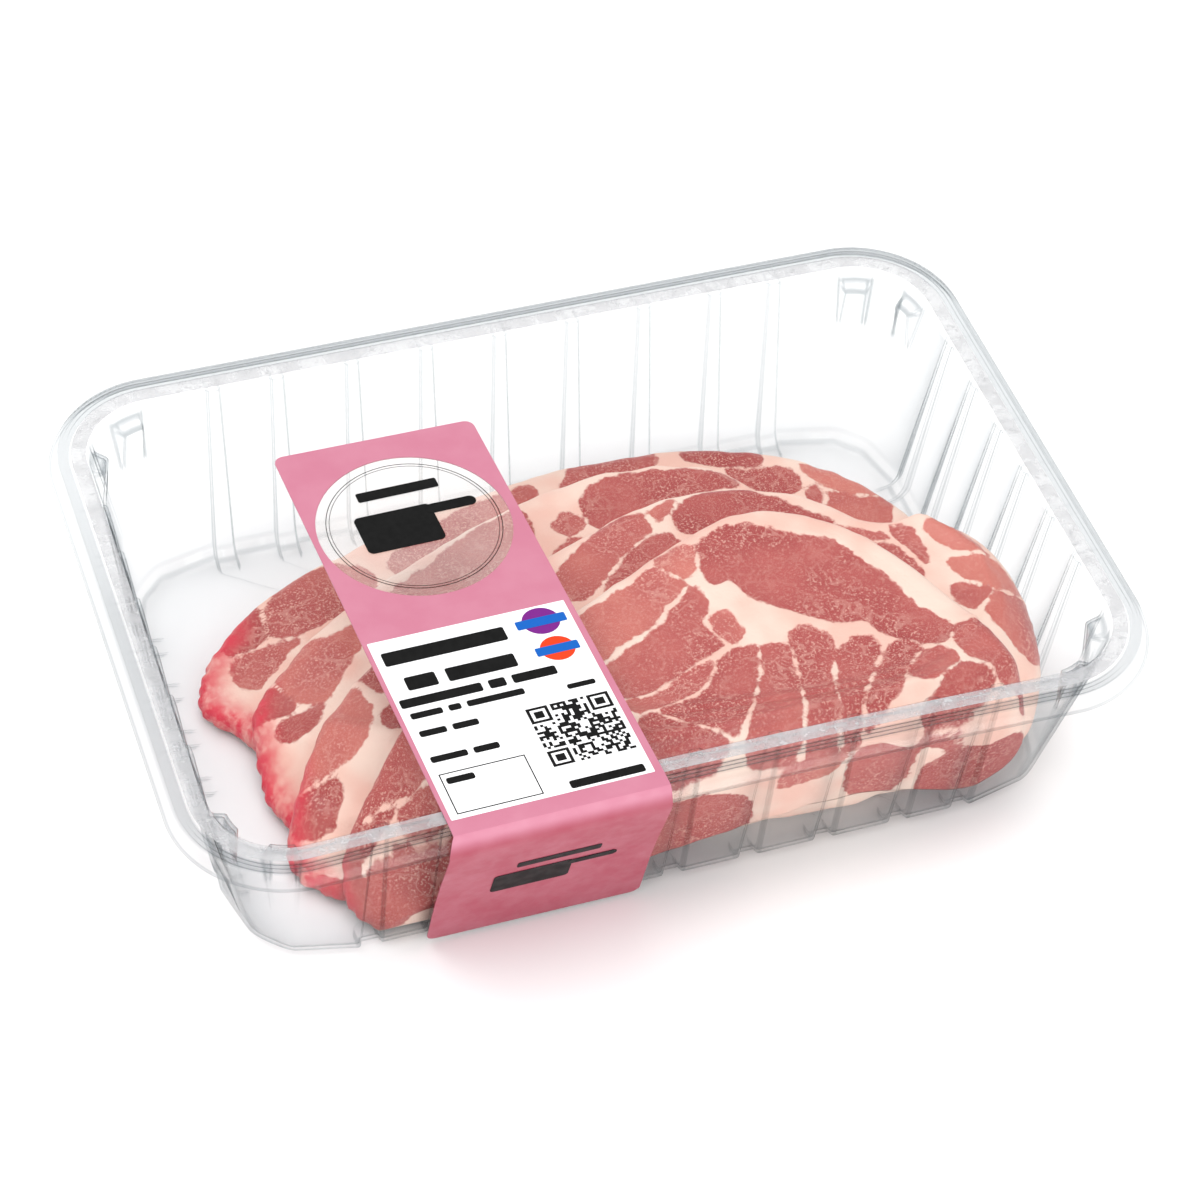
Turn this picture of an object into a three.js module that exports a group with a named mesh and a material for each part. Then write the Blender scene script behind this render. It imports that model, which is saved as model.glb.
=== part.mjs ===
import * as THREE from 'three';

// Sealed meat tray: a clear ribbed tray with four fanned neck chops, a clear lidding film
// welded to its flange, and a paper label that lies on the film and folds down the front wall.
// Millimetres, +Z up, origin under the middle of the tray, the label's front panel facing -Y.

// Tray
const LENGTH = 260;
const WIDTH = 180;
const HEIGHT = 57.5;
const SHEET = 0.8;
const LIP_RADIUS = 30.4;
const LIP_DROP = 4.2;
const LIP_WIDTH = 0.8;
const FLANGE_RADIUS = 28.6;
const MOUTH_RADIUS = 19.5;
const NECK_RADIUS = 19.9;
const FOOT_RADIUS = 13.6;
const HEEL_RADIUS = 11.4;
const BASE_RADIUS = 8.5;
const HEEL_HEIGHT = 0.9;
const FOOT_HEIGHT = 4;
const WAIST = 0.36 * HEIGHT;
const FRONT_BOW = 1.7;

// Grooves between the wall's panels, counted out from the middle of each side
const LONG_PITCH = 21.07;
const SHORT_PITCH = 17.1;
const LONG_GROOVES = [-81, -3 * LONG_PITCH, -2 * LONG_PITCH, -LONG_PITCH, 0,
  LONG_PITCH, 2 * LONG_PITCH, 3 * LONG_PITCH, 81];
const SHORT_GROOVES = [-2.5, -1.5, -0.5, 0.5, 1.5, 2.5].map((step) => step * SHORT_PITCH);
const GROOVE_TOP = { half: 1.2, depth: 0.8 };
const GROOVE_FOOT = { half: 2.4, depth: 1.7 };
const GROOVE_SLANT = 0.9;

// Two nesting lugs in each corner, by their angle from the X side to the Y side
const CORNER_ANGLES = [2, 5, 15, 25, 28, 37, 45, 52, 58, 61, 72, 83, 86];
const LUG_ANGLES = [5, 15, 25, 61, 72, 83];
const LUG_DEPTH = 4.2;
const LUG_TOP = HEIGHT - 4.6;
const LUG_SHOULDER = HEIGHT - 3.4;
const LUG_FOOT = HEIGHT - 18;
const CORNER_TAPER = 5.6;
const CORNER_RUN = 14;

// Film and label
const GAP = 0.25;
const FILM_THICKNESS = 0.3;
const FILM_RADIUS = 27.6;
const LABEL_THICKNESS = 0.35;
const LABEL_BACK = 48;
const LABEL_FOLD_X = [-65.6, -9.9];
const LABEL_BACK_X = [-73.1, -18.2];
const LABEL_FRONT_X = [-67, -9.8];
const LABEL_FOOT = { y: -73.6, z: 1.4 };
const FOLD_CLEARANCE = 0.3;
const FOLD_DEPTH = 1.0;

// Chops, from the one that lies on the base to the one on top: each has a plan outline, and
// droop is the steepest slope at which it hangs off what lies under it
const CHOP_THICKNESS = 10.6;
const CHOP_GAP = 1.1;
const CHOP_SECTORS = 52;
const FACE_SHARES = [0.2, 0.42, 0.62, 0.79, 0.9];
const UNDERSIDE_SHARES = [0.93, 0.76, 0.52, 0.24];
const RIM_LEVELS = { shoulder: [0.96, 0.93], edge: [0.99, 0.68], waist: [1, 0.4], heel: [0.985, 0.1] };
const STRETCH_LIMIT = 2.0;
const WALL_CLEARANCE = 0.5;
const TAIL_LENGTH = 38;
const TAIL_SHARE = 0.55;
const LIFT_PASSES = 6;
const CHOPS = [
  {
    name: 'chop_1',
    droop: 1.0,
    colour: 0xc9646c,
    outline: [[107, 16], [99, 38], [81, 55], [59, 65], [20, 69], [-11, 65], [-48, 55], [-79, 43],
      [-97, 28], [-102, 14], [-96, 4], [-84, -16], [-50, -44], [10, -59], [70, -60], [102, -36]],
  },
  {
    name: 'chop_2',
    droop: 1.1,
    colour: 0xcf6f74,
    outline: [[109, -24], [102, -4], [88, 10], [67, 27], [54, 46], [26, 53], [-8, 47], [-48, 30],
      [-80, 12], [-92, 0], [-94, -13], [-92, -29], [-80, -46], [0, -64], [70, -66], [102, -54]],
  },
  {
    name: 'chop_3',
    droop: 1.1,
    colour: 0xd47a7c,
    outline: [[116, -38], [113, -18], [107, -5], [99, 2], [90, 2], [81, 6], [73, 15], [54, 26],
      [30, 28], [0, 19], [-40, 4], [-70, -12], [-88, -29], [-94, -43], [-87, -55], [-70, -61],
      [-40, -66], [70, -68.5], [104, -61]],
  },
  {
    name: 'chop_4',
    droop: 1.9,
    colour: 0xc86a6c,
    outline: [[97, -70], [91, -48], [80, -20], [66, -2], [46, 7], [24, 1], [-4, -12], [-40, -28],
      [-70, -43], [-84, -56], [-80, -67], [-60, -76], [0, -79], [50, -78], [86, -79]],
  },
];

const CORNER_X = LENGTH / 2 - LIP_RADIUS;
const CORNER_Y = WIDTH / 2 - LIP_RADIUS;

function mix(a, b, t) {
  return a + (b - a) * t;
}

function clamp(value, low, high) {
  return Math.min(Math.max(value, low), high);
}

// Radius of the tray's outer wall about the corner centres, at a height
function wallRadius(z) {
  if (z < HEEL_HEIGHT) return mix(BASE_RADIUS, HEEL_RADIUS, clamp(z / HEEL_HEIGHT, 0, 1));
  if (z < FOOT_HEIGHT) {
    return mix(HEEL_RADIUS, FOOT_RADIUS, (z - HEEL_HEIGHT) / (FOOT_HEIGHT - HEEL_HEIGHT));
  }
  return mix(FOOT_RADIUS, NECK_RADIUS, (z - FOOT_HEIGHT) / (LUG_SHOULDER - FOOT_HEIGHT));
}

function grooveAt(z) {
  const t = clamp(z / HEIGHT, 0, 1);
  return {
    half: mix(GROOVE_FOOT.half, GROOVE_TOP.half, t),
    depth: mix(GROOVE_FOOT.depth, GROOVE_TOP.depth, t),
  };
}

// How far the film's pull bows the front side in
function frontBow(x, z) {
  const across = 1 - (x / CORNER_X) ** 2;
  return across > 0 ? FRONT_BOW * across * clamp(z / HEIGHT, 0, 1) ** 3 : 0;
}

// How far a corner draws in below the lugs, most at its middle and at the base
function cornerTaper(angle, z) {
  return CORNER_TAPER * mix(0.65, 1, Math.sin(2 * angle)) * clamp(1 - z / LUG_TOP, 0, 1);
}

// One closed ring of the tray, anticlockwise from the front end of the right side.
// grooves and lugs scale how much of each shows at this ring.
function trayRing(z, radius, grooves, lugs) {
  const points = [];
  const groove = grooveAt(z);
  const place = (cx, cy, nx, ny, inward) => {
    const bow = ny < -0.99 ? frontBow(cx, z) : 0;
    points.push([cx + nx * (radius - inward), cy + ny * (radius - inward) + bow, z]);
  };
  const side = (centres, put) => {
    for (const centre of centres) {
      put(centre - groove.half - GROOVE_SLANT, 0);
      put(centre - groove.half, groove.depth * grooves);
      put(centre + groove.half, groove.depth * grooves);
      put(centre + groove.half + GROOVE_SLANT, 0);
    }
  };
  const corner = (sx, sy, angles) => {
    for (const angle of angles) {
      const a = THREE.MathUtils.degToRad(angle);
      const lug = LUG_ANGLES.includes(angle) ? LUG_DEPTH * lugs : 0;
      const inward = lug + cornerTaper(a, z);
      place(sx * CORNER_X, sy * CORNER_Y, sx * Math.cos(a), sy * Math.sin(a), inward);
    }
  };
  const rising = CORNER_ANGLES;
  const falling = [...CORNER_ANGLES].reverse();
  side(SHORT_GROOVES, (y, inward) => place(CORNER_X, y, 1, 0, inward));
  corner(1, 1, rising);
  side(LONG_GROOVES, (x, inward) => place(-x, CORNER_Y, 0, 1, inward));
  corner(-1, 1, falling);
  side(SHORT_GROOVES, (y, inward) => place(-CORNER_X, -y, -1, 0, inward));
  corner(-1, -1, rising);
  side(LONG_GROOVES, (x, inward) => place(x, -CORNER_Y, 0, -1, inward));
  corner(1, -1, falling);
  return points;
}

function ringMiddle(ring) {
  return [0, 1, 2].map((k) => ring.reduce((sum, point) => sum + point[k], 0) / ring.length);
}

// A closed mesh from rings of equal length, with a flat fan over the first and the last ring.
// Rings run from the top middle outwards and down to the bottom middle, anticlockwise from above.
function ringMesh(name, rings, material) {
  const count = rings[0].length;
  const positions = rings.flat(2);
  const indices = [];
  rings.slice(1).forEach((ring, row) => {
    for (let i = 0; i < count; i += 1) {
      const j = (i + 1) % count;
      const a = row * count + i;
      const b = row * count + j;
      const c = (row + 1) * count + i;
      const d = (row + 1) * count + j;
      indices.push(a, c, b, b, c, d);
    }
  });
  const top = positions.length / 3;
  positions.push(...ringMiddle(rings[0]));
  const bottom = top + 1;
  positions.push(...ringMiddle(rings[rings.length - 1]));
  const last = (rings.length - 1) * count;
  for (let i = 0; i < count; i += 1) {
    const j = (i + 1) % count;
    indices.push(top, i, j);
    indices.push(bottom, last + j, last + i);
  }
  const geometry = new THREE.BufferGeometry();
  geometry.setAttribute('position', new THREE.Float32BufferAttribute(positions, 3));
  geometry.setIndex(indices);
  geometry.computeVertexNormals();
  const mesh = new THREE.Mesh(geometry, material);
  mesh.name = name;
  return mesh;
}

// Thermoformed tray: the inside from the base up and out over the flange, then back outside
function makeTray() {
  const wall = (z, inset, lugs) => trayRing(z, wallRadius(z) - inset, 1, lugs);
  const inside = [
    trayRing(SHEET, BASE_RADIUS - SHEET / 2, 0.9, 0),
    trayRing(SHEET + HEEL_HEIGHT, HEEL_RADIUS - SHEET / 2, 1, 0),
    wall(FOOT_HEIGHT + SHEET, SHEET, 0),
    wall(WAIST, SHEET, 0),
    wall(LUG_FOOT, SHEET, 0.06),
    wall(LUG_TOP, SHEET, 1),
    trayRing(LUG_SHOULDER, MOUTH_RADIUS - SHEET / 2, 1, 0.12),
    trayRing(HEIGHT, MOUTH_RADIUS, 1, 0),
    trayRing(HEIGHT, FLANGE_RADIUS, 0, 0),
    trayRing(HEIGHT - LIP_DROP, LIP_RADIUS, 0, 0),
  ];
  const outside = [
    trayRing(HEIGHT - LIP_DROP, LIP_RADIUS - LIP_WIDTH, 0, 0),
    trayRing(HEIGHT - SHEET, FLANGE_RADIUS - SHEET, 0, 0),
    trayRing(HEIGHT - SHEET, MOUTH_RADIUS + SHEET, 1, 0),
    trayRing(LUG_SHOULDER - SHEET, MOUTH_RADIUS + SHEET / 2, 1, 0.12),
    wall(LUG_TOP - SHEET, 0, 1),
    wall(LUG_FOOT, 0, 0.06),
    wall(WAIST, 0, 0),
    wall(FOOT_HEIGHT, 0, 0),
    wall(HEEL_HEIGHT, 0, 0),
    trayRing(0, BASE_RADIUS, 0.9, 0),
  ];
  const material = new THREE.MeshStandardMaterial({
    color: 0xe9eef0, roughness: 0.08, metalness: 0, transparent: true, opacity: 0.3,
  });
  return ringMesh('tray', [...inside, ...outside], material);
}

// Lidding film: a flat sheet over the mouth, welded to the flange just inside its edge
function makeFilm() {
  const low = HEIGHT + GAP;
  const ring = (z) => trayRing(HEIGHT, FILM_RADIUS, 0, 0).map(([x, y]) => [x, y, z]);
  const thin = (points) => points.filter((point, index) => index % 2 === 0);
  const material = new THREE.MeshStandardMaterial({
    color: 0xf4f7f8, roughness: 0.05, metalness: 0, transparent: true, opacity: 0.15,
  });
  return ringMesh('lidding_film', [thin(ring(low + FILM_THICKNESS)), thin(ring(low))], material);
}

// Label: columns across it, each a path from the back of the film to the foot of the front wall
function labelPath(t) {
  const top = HEIGHT + FILM_THICKNESS + 2 * GAP;
  const foldX = mix(...LABEL_FOLD_X, t);
  const frontX = mix(...LABEL_FRONT_X, t);
  const bow = frontBow(foldX, HEIGHT);
  const fold = -(CORNER_Y + FLANGE_RADIUS) + bow;
  const lip = -(WIDTH / 2) + bow - GAP;
  const lipZ = HEIGHT - LIP_DROP;
  const lean = (y) => mix(foldX, mix(...LABEL_BACK_X, t), (y - fold) / (LABEL_BACK - fold));
  const between = (t2, t3) => [mix(lip, LABEL_FOOT.y, t2), mix(lipZ, LABEL_FOOT.z, t3)];
  return [
    [lean(LABEL_BACK), LABEL_BACK, top],
    [lean(0), 0, top],
    [lean(fold + 3 * FOLD_DEPTH), fold + 3 * FOLD_DEPTH, top],
    [foldX, fold - FOLD_CLEARANCE, top - 0.2 * FOLD_DEPTH],
    [mix(foldX, frontX, 0.4), fold - FOLD_DEPTH, top - FOLD_DEPTH],
    [frontX, lip - 0.2, lipZ + 0.6],
    [frontX, lip - 0.1, lipZ - 1.4],
    [frontX, ...between(0.16, 0.17)],
    [frontX, ...between(0.62, 0.58)],
    [frontX, LABEL_FOOT.y, LABEL_FOOT.z],
  ];
}

function makeLabel() {
  const columns = 6;
  const rows = labelPath(0).length;
  const positions = [];
  for (let c = 0; c <= columns; c += 1) {
    const path = labelPath(c / columns);
    path.forEach(([x, y, z], row) => {
      const before = path[Math.max(row - 1, 0)];
      const after = path[Math.min(row + 1, rows - 1)];
      const along = new THREE.Vector2(after[1] - before[1], after[2] - before[2]).normalize();
      positions.push(x, y, z);
      positions.push(x, y + along.y * LABEL_THICKNESS, z - along.x * LABEL_THICKNESS);
    });
  }
  const at = (c, row, face) => (c * rows + row) * 2 + face;
  const indices = [];
  const quad = (a, b, c, d) => indices.push(a, b, c, a, c, d);
  for (let c = 0; c < columns; c += 1) {
    for (let row = 0; row < rows - 1; row += 1) {
      quad(at(c, row, 1), at(c, row + 1, 1), at(c + 1, row + 1, 1), at(c + 1, row, 1));
      quad(at(c, row, 0), at(c + 1, row, 0), at(c + 1, row + 1, 0), at(c, row + 1, 0));
    }
    quad(at(c, 0, 0), at(c, 0, 1), at(c + 1, 0, 1), at(c + 1, 0, 0));
    quad(at(c, rows - 1, 1), at(c, rows - 1, 0), at(c + 1, rows - 1, 0), at(c + 1, rows - 1, 1));
  }
  for (let row = 0; row < rows - 1; row += 1) {
    quad(at(0, row, 0), at(0, row + 1, 0), at(0, row + 1, 1), at(0, row, 1));
    quad(at(columns, row, 1), at(columns, row + 1, 1), at(columns, row + 1, 0), at(columns, row, 0));
  }
  const geometry = new THREE.BufferGeometry();
  geometry.setAttribute('position', new THREE.Float32BufferAttribute(positions, 3));
  geometry.setIndex(indices);
  geometry.computeVertexNormals();
  const mesh = new THREE.Mesh(
    geometry,
    new THREE.MeshStandardMaterial({ color: 0xe492ab, roughness: 0.45, metalness: 0 }),
  );
  mesh.name = 'label';
  return mesh;
}

// Height map of what lies in the tray, on a square grid
const GRID_STEP = 2.5;
const GRID_X = 120;
const GRID_Y = 82.5;
const COLUMNS = Math.round((2 * GRID_X) / GRID_STEP) + 1;
const ROWS = Math.round((2 * GRID_Y) / GRID_STEP) + 1;

function heightAt(map, x, y) {
  const u = clamp((x + GRID_X) / GRID_STEP, 0, COLUMNS - 1.001);
  const v = clamp((y + GRID_Y) / GRID_STEP, 0, ROWS - 1.001);
  const c = Math.floor(u);
  const r = Math.floor(v);
  const low = mix(map[r * COLUMNS + c], map[r * COLUMNS + c + 1], u - c);
  const high = mix(map[(r + 1) * COLUMNS + c], map[(r + 1) * COLUMNS + c + 1], u - c);
  return mix(low, high, v - r);
}

// A soft slice can't follow a cliff: it comes down from each height no steeper than the drape
function drape(map, slope) {
  const reach = Math.ceil(HEIGHT / slope / GRID_STEP);
  const out = new Float64Array(map.length);
  for (let r = 0; r < ROWS; r += 1) {
    for (let c = 0; c < COLUMNS; c += 1) {
      let best = 0;
      for (let dr = -reach; dr <= reach; dr += 1) {
        for (let dc = -reach; dc <= reach; dc += 1) {
          const rr = r + dr;
          const cc = c + dc;
          if (rr < 0 || cc < 0 || rr >= ROWS || cc >= COLUMNS) continue;
          const fall = slope * GRID_STEP * Math.hypot(dr, dc);
          best = Math.max(best, map[rr * COLUMNS + cc] - fall);
        }
      }
      out[r * COLUMNS + c] = best;
    }
  }
  return out;
}

function blur(map, times) {
  let from = map;
  for (let pass = 0; pass < times; pass += 1) {
    const to = new Float64Array(map.length);
    for (let r = 0; r < ROWS; r += 1) {
      for (let c = 0; c < COLUMNS; c += 1) {
        let sum = 0;
        for (let dr = -1; dr <= 1; dr += 1) {
          for (let dc = -1; dc <= 1; dc += 1) {
            sum += from[clamp(r + dr, 0, ROWS - 1) * COLUMNS + clamp(c + dc, 0, COLUMNS - 1)];
          }
        }
        to[r * COLUMNS + c] = sum / 9;
      }
    }
    from = to;
  }
  return from;
}

// Calls visit(cell, height) for every grid point under a triangle
function coverTriangle(a, b, c, visit) {
  const area = (b[0] - a[0]) * (c[1] - a[1]) - (b[1] - a[1]) * (c[0] - a[0]);
  if (Math.abs(area) < 1e-9) return;
  const xs = [a[0], b[0], c[0]];
  const ys = [a[1], b[1], c[1]];
  const c0 = Math.max(Math.ceil((Math.min(...xs) + GRID_X) / GRID_STEP), 0);
  const c1 = Math.min(Math.floor((Math.max(...xs) + GRID_X) / GRID_STEP), COLUMNS - 1);
  const r0 = Math.max(Math.ceil((Math.min(...ys) + GRID_Y) / GRID_STEP), 0);
  const r1 = Math.min(Math.floor((Math.max(...ys) + GRID_Y) / GRID_STEP), ROWS - 1);
  for (let row = r0; row <= r1; row += 1) {
    for (let column = c0; column <= c1; column += 1) {
      const x = column * GRID_STEP - GRID_X;
      const y = row * GRID_STEP - GRID_Y;
      const u = ((x - a[0]) * (c[1] - a[1]) - (y - a[1]) * (c[0] - a[0])) / area;
      const v = ((b[0] - a[0]) * (y - a[1]) - (b[1] - a[1]) * (x - a[0])) / area;
      if (u < 0 || v < 0 || u + v > 1) continue;
      visit(row * COLUMNS + column, a[2] + u * (b[2] - a[2]) + v * (c[2] - a[2]));
    }
  }
}

// Triangles between rings, with the last ring closed by a fan to its middle point
function eachTriangle(rings, middle, visit) {
  const count = rings[0].length;
  for (let i = 0; i < count; i += 1) {
    const j = (i + 1) % count;
    for (let row = 0; row + 1 < rings.length; row += 1) {
      visit(rings[row][i], rings[row + 1][i], rings[row][j]);
      visit(rings[row][j], rings[row + 1][i], rings[row + 1][j]);
    }
    visit(middle, rings[rings.length - 1][i], rings[rings.length - 1][j]);
  }
}

// Keeps a point clear of the tray's inner wall
function insideWall(x, y, z) {
  const room = wallRadius(Math.max(z - SHEET, 0)) - SHEET - grooveAt(z).depth - WALL_CLEARANCE;
  const dx = Math.max(Math.abs(x) - CORNER_X, 0);
  const dy = Math.max(Math.abs(y) - CORNER_Y, 0);
  const bow = y < 0 ? frontBow(x, z) : 0;
  const out = Math.hypot(dx, dy);
  const alongX = clamp((Math.abs(x) - CORNER_X) / CORNER_RUN + 1, 0, 1);
  const alongY = clamp((Math.abs(y) - CORNER_Y) / CORNER_RUN + 1, 0, 1);
  const limit = room - bow - cornerTaper(Math.atan2(dy, dx), z) * Math.min(alongX, alongY);
  if (out <= limit) return [x, y, z];
  const keep = limit / out;
  return [Math.sign(x) * (Math.min(Math.abs(x), CORNER_X) + dx * keep),
    Math.sign(y) * (Math.min(Math.abs(y), CORNER_Y) + dy * keep), z];
}

// One slice: it drapes over the map, then adds itself to the map
function makeChop({ name, droop, colour, outline }, map) {
  const curve = new THREE.CatmullRomCurve3(
    outline.map(([x, y]) => new THREE.Vector3(x, y, 0)), true, 'centripetal');
  const rim = curve.getSpacedPoints(CHOP_SECTORS).slice(0, CHOP_SECTORS);
  const centre = rim.reduce((sum, p) => sum.add(p), new THREE.Vector3()).divideScalar(rim.length);
  const bed = blur(drape(map, droop), 3);
  const under = (x, y) => Math.max(heightAt(bed, x, y), heightAt(map, x, y)) + CHOP_GAP;
  const stretch = (x, y) => {
    const gx = (heightAt(bed, x + 2, y) - heightAt(bed, x - 2, y)) / 4;
    const gy = (heightAt(bed, x, y + 2) - heightAt(bed, x, y - 2)) / 4;
    return Math.min(Math.hypot(1, gx, gy), STRETCH_LIMIT);
  };
  const tail = Math.min(...rim.map((point) => point.x));
  const thickness = (x) => {
    const share = mix(TAIL_SHARE, 1, clamp((x - tail) / TAIL_LENGTH, 0, 1));
    return CHOP_THICKNESS * share;
  };
  const ring = (share, level) => rim.map((point, i) => {
    const ragged = 1 + 0.006 * Math.sin(i * 2.3) + 0.004 * Math.sin(i * 0.9 + centre.x);
    const x = mix(centre.x, point.x, share * ragged);
    const y = mix(centre.y, point.y, share * ragged);
    const z = under(x, y) + level * thickness(x) * stretch(x, y);
    return insideWall(x, y, z);
  });
  const tops = FACE_SHARES.map((share) => ring(share, 1));
  tops.push(ring(...RIM_LEVELS.shoulder), ring(...RIM_LEVELS.edge));
  const belows = [ring(...RIM_LEVELS.heel), ...UNDERSIDE_SHARES.map((share) => ring(share, 0))];
  // Facets of the underside that would cut the map are lifted clear of it
  const inner = belows[belows.length - 1];
  for (let pass = 0; pass < LIFT_PASSES; pass += 1) {
    const middle = ringMiddle(inner);
    eachTriangle(belows, middle, (a, b, c) => {
      let deep = 0;
      coverTriangle(a, b, c, (cell, z) => {
        deep = Math.max(deep, map[cell] + CHOP_GAP - z);
      });
      const lifted = a === middle ? inner : [a, b, c];
      for (const point of lifted) point[2] += deep;
      if (a === middle) middle[2] += deep;
    });
  }
  const waist = ring(...RIM_LEVELS.waist);
  for (let i = 0; i < CHOP_SECTORS; i += 1) {
    waist[i][2] = Math.max(waist[i][2], belows[0][i][2] + 0.5);
    tops[tops.length - 1][i][2] = Math.max(tops[tops.length - 1][i][2], waist[i][2] + 0.5);
  }
  eachTriangle([waist, ...[...tops].reverse()], ringMiddle(tops[0]), (a, b, c) => {
    coverTriangle(a, b, c, (cell, z) => {
      map[cell] = Math.max(map[cell], z);
    });
  });
  const material = new THREE.MeshStandardMaterial({ color: colour, roughness: 0.45, metalness: 0 });
  return ringMesh(name, [...tops, waist, ...belows], material);
}

const group = new THREE.Group();
group.name = 'meat_tray_pack';
group.add(makeTray());
group.add(makeFilm());
group.add(makeLabel());
const pile = new Float64Array(COLUMNS * ROWS).fill(SHEET);
for (const chop of CHOPS) group.add(makeChop(chop, pile));

export default group;
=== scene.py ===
import math
import bpy
import numpy as np
from mathutils import Matrix, Vector, noise


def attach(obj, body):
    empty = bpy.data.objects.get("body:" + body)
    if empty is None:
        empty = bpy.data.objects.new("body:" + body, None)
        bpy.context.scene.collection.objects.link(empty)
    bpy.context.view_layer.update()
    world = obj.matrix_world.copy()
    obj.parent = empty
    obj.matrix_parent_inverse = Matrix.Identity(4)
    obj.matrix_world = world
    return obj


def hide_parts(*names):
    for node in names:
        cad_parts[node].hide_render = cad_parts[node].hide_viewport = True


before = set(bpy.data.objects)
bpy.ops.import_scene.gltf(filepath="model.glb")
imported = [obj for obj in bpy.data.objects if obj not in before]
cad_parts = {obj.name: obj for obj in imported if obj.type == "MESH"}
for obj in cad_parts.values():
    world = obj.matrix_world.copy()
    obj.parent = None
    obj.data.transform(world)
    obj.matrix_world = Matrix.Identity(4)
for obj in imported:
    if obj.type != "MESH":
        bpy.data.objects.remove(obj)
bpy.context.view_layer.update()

# Tray: one clear sheet drawn down over a mould, so walls, ribs, lugs and rim are a single skin.
# The ribs stiffen the walls, the corner lugs keep a stack of empty trays apart, and the lip is
# turned down round the flange. Lengths are in millimetres until a mesh is made.
MM = 0.001
LENGTH, WIDTH, HEIGHT = 260.0, 180.0, 57.5
SHEET = 0.8
LIP_RADIUS, LIP_DROP, LIP_WIDTH = 30.4, 4.2, 0.8
FLANGE_RADIUS, MOUTH_RADIUS, NECK_RADIUS = 28.6, 19.5, 19.9
FOOT_RADIUS, HEEL_RADIUS, BASE_RADIUS = 13.6, 11.4, 8.5
HEEL_HEIGHT, FOOT_HEIGHT = 0.9, 4.0
WAIST = 0.36 * HEIGHT
FRONT_BOW = 1.7
CORNER_X, CORNER_Y = LENGTH / 2 - LIP_RADIUS, WIDTH / 2 - LIP_RADIUS
LONG_PITCH, SHORT_PITCH, END_GROOVE = 21.07, 17.1, 81.0
LONG_GROOVES = [-END_GROOVE] + [LONG_PITCH * step for step in range(-3, 4)] + [END_GROOVE]
SHORT_GROOVES = [SHORT_PITCH * (step + 0.5) for step in range(-3, 3)]
GROOVE_TOP, GROOVE_FOOT, GROOVE_SLANT = (1.2, 0.8), (2.4, 1.7), 0.9
LUGS, LUG_RAMP, LUG_DEPTH = ((5, 25), (61, 83)), 3.0, 4.2
LUG_TOP, LUG_SHOULDER, LUG_FOOT = HEIGHT - 4.6, HEIGHT - 3.4, HEIGHT - 18
CORNER_TAPER, CORNER_RUN = 5.6, 14.0
CORNER_LEAST = 0.65
BEND, RIM_BEND, MOUTH_EASE, BASE_EDGE = 1.1, 0.5, 0.3, 2.0
END_GROOVES, LUG_START, LUG_END = 0.9, 0.06, 0.12
CHANNEL_RADII, CHANNEL_DEPTH, CHANNEL_SIDE = ((24.6, 25.2), (25.9, 26.3), (27.0, 27.5)), 0.5, 0.15
TRAY_CLEAR, TRAY_EDGE_ON, BEND_PAINTED_SHADE = (0.988, 0.99, 0.991), (0.54, 0.57, 0.59), (0.72, 0.74, 0.75)
BEND_FROM, BEND_TO, BEND_REACH = 4.0, 26.0, 1.6
EDGE_POWER, MIRROR_POWER, MIRROR_LEAST, MIRROR_MOST = 4.0, 5.0, 0.012, 0.7


def mix(a, b, t):
    return a + (b - a) * t


def ease(t):
    t = np.clip(t, 0, 1)
    return t * t * (3 - 2 * t)


def wall_radius(z):
    neck = mix(FOOT_RADIUS, NECK_RADIUS, (z - FOOT_HEIGHT) / (LUG_SHOULDER - FOOT_HEIGHT))
    foot = np.interp(z, [0, HEEL_HEIGHT, FOOT_HEIGHT], [BASE_RADIUS, HEEL_RADIUS, FOOT_RADIUS])
    return np.where(z < FOOT_HEIGHT, foot, neck)


def front_bow(x, z):
    across = np.clip(1 - (x / CORNER_X) ** 2, 0, None)
    return FRONT_BOW * across * np.clip(z / HEIGHT, 0, 1) ** 3


def corner_taper(angle, z):
    return CORNER_TAPER * mix(CORNER_LEAST, 1, np.sin(2 * angle)) * np.clip(1 - z / LUG_TOP, 0, 1)


def lug_share(degrees):
    share = 0.0
    for start, end in LUGS:
        rise = ease((degrees - start + LUG_RAMP) / LUG_RAMP)
        share += rise * (1 - ease((degrees - end) / LUG_RAMP))
    return share


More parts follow.
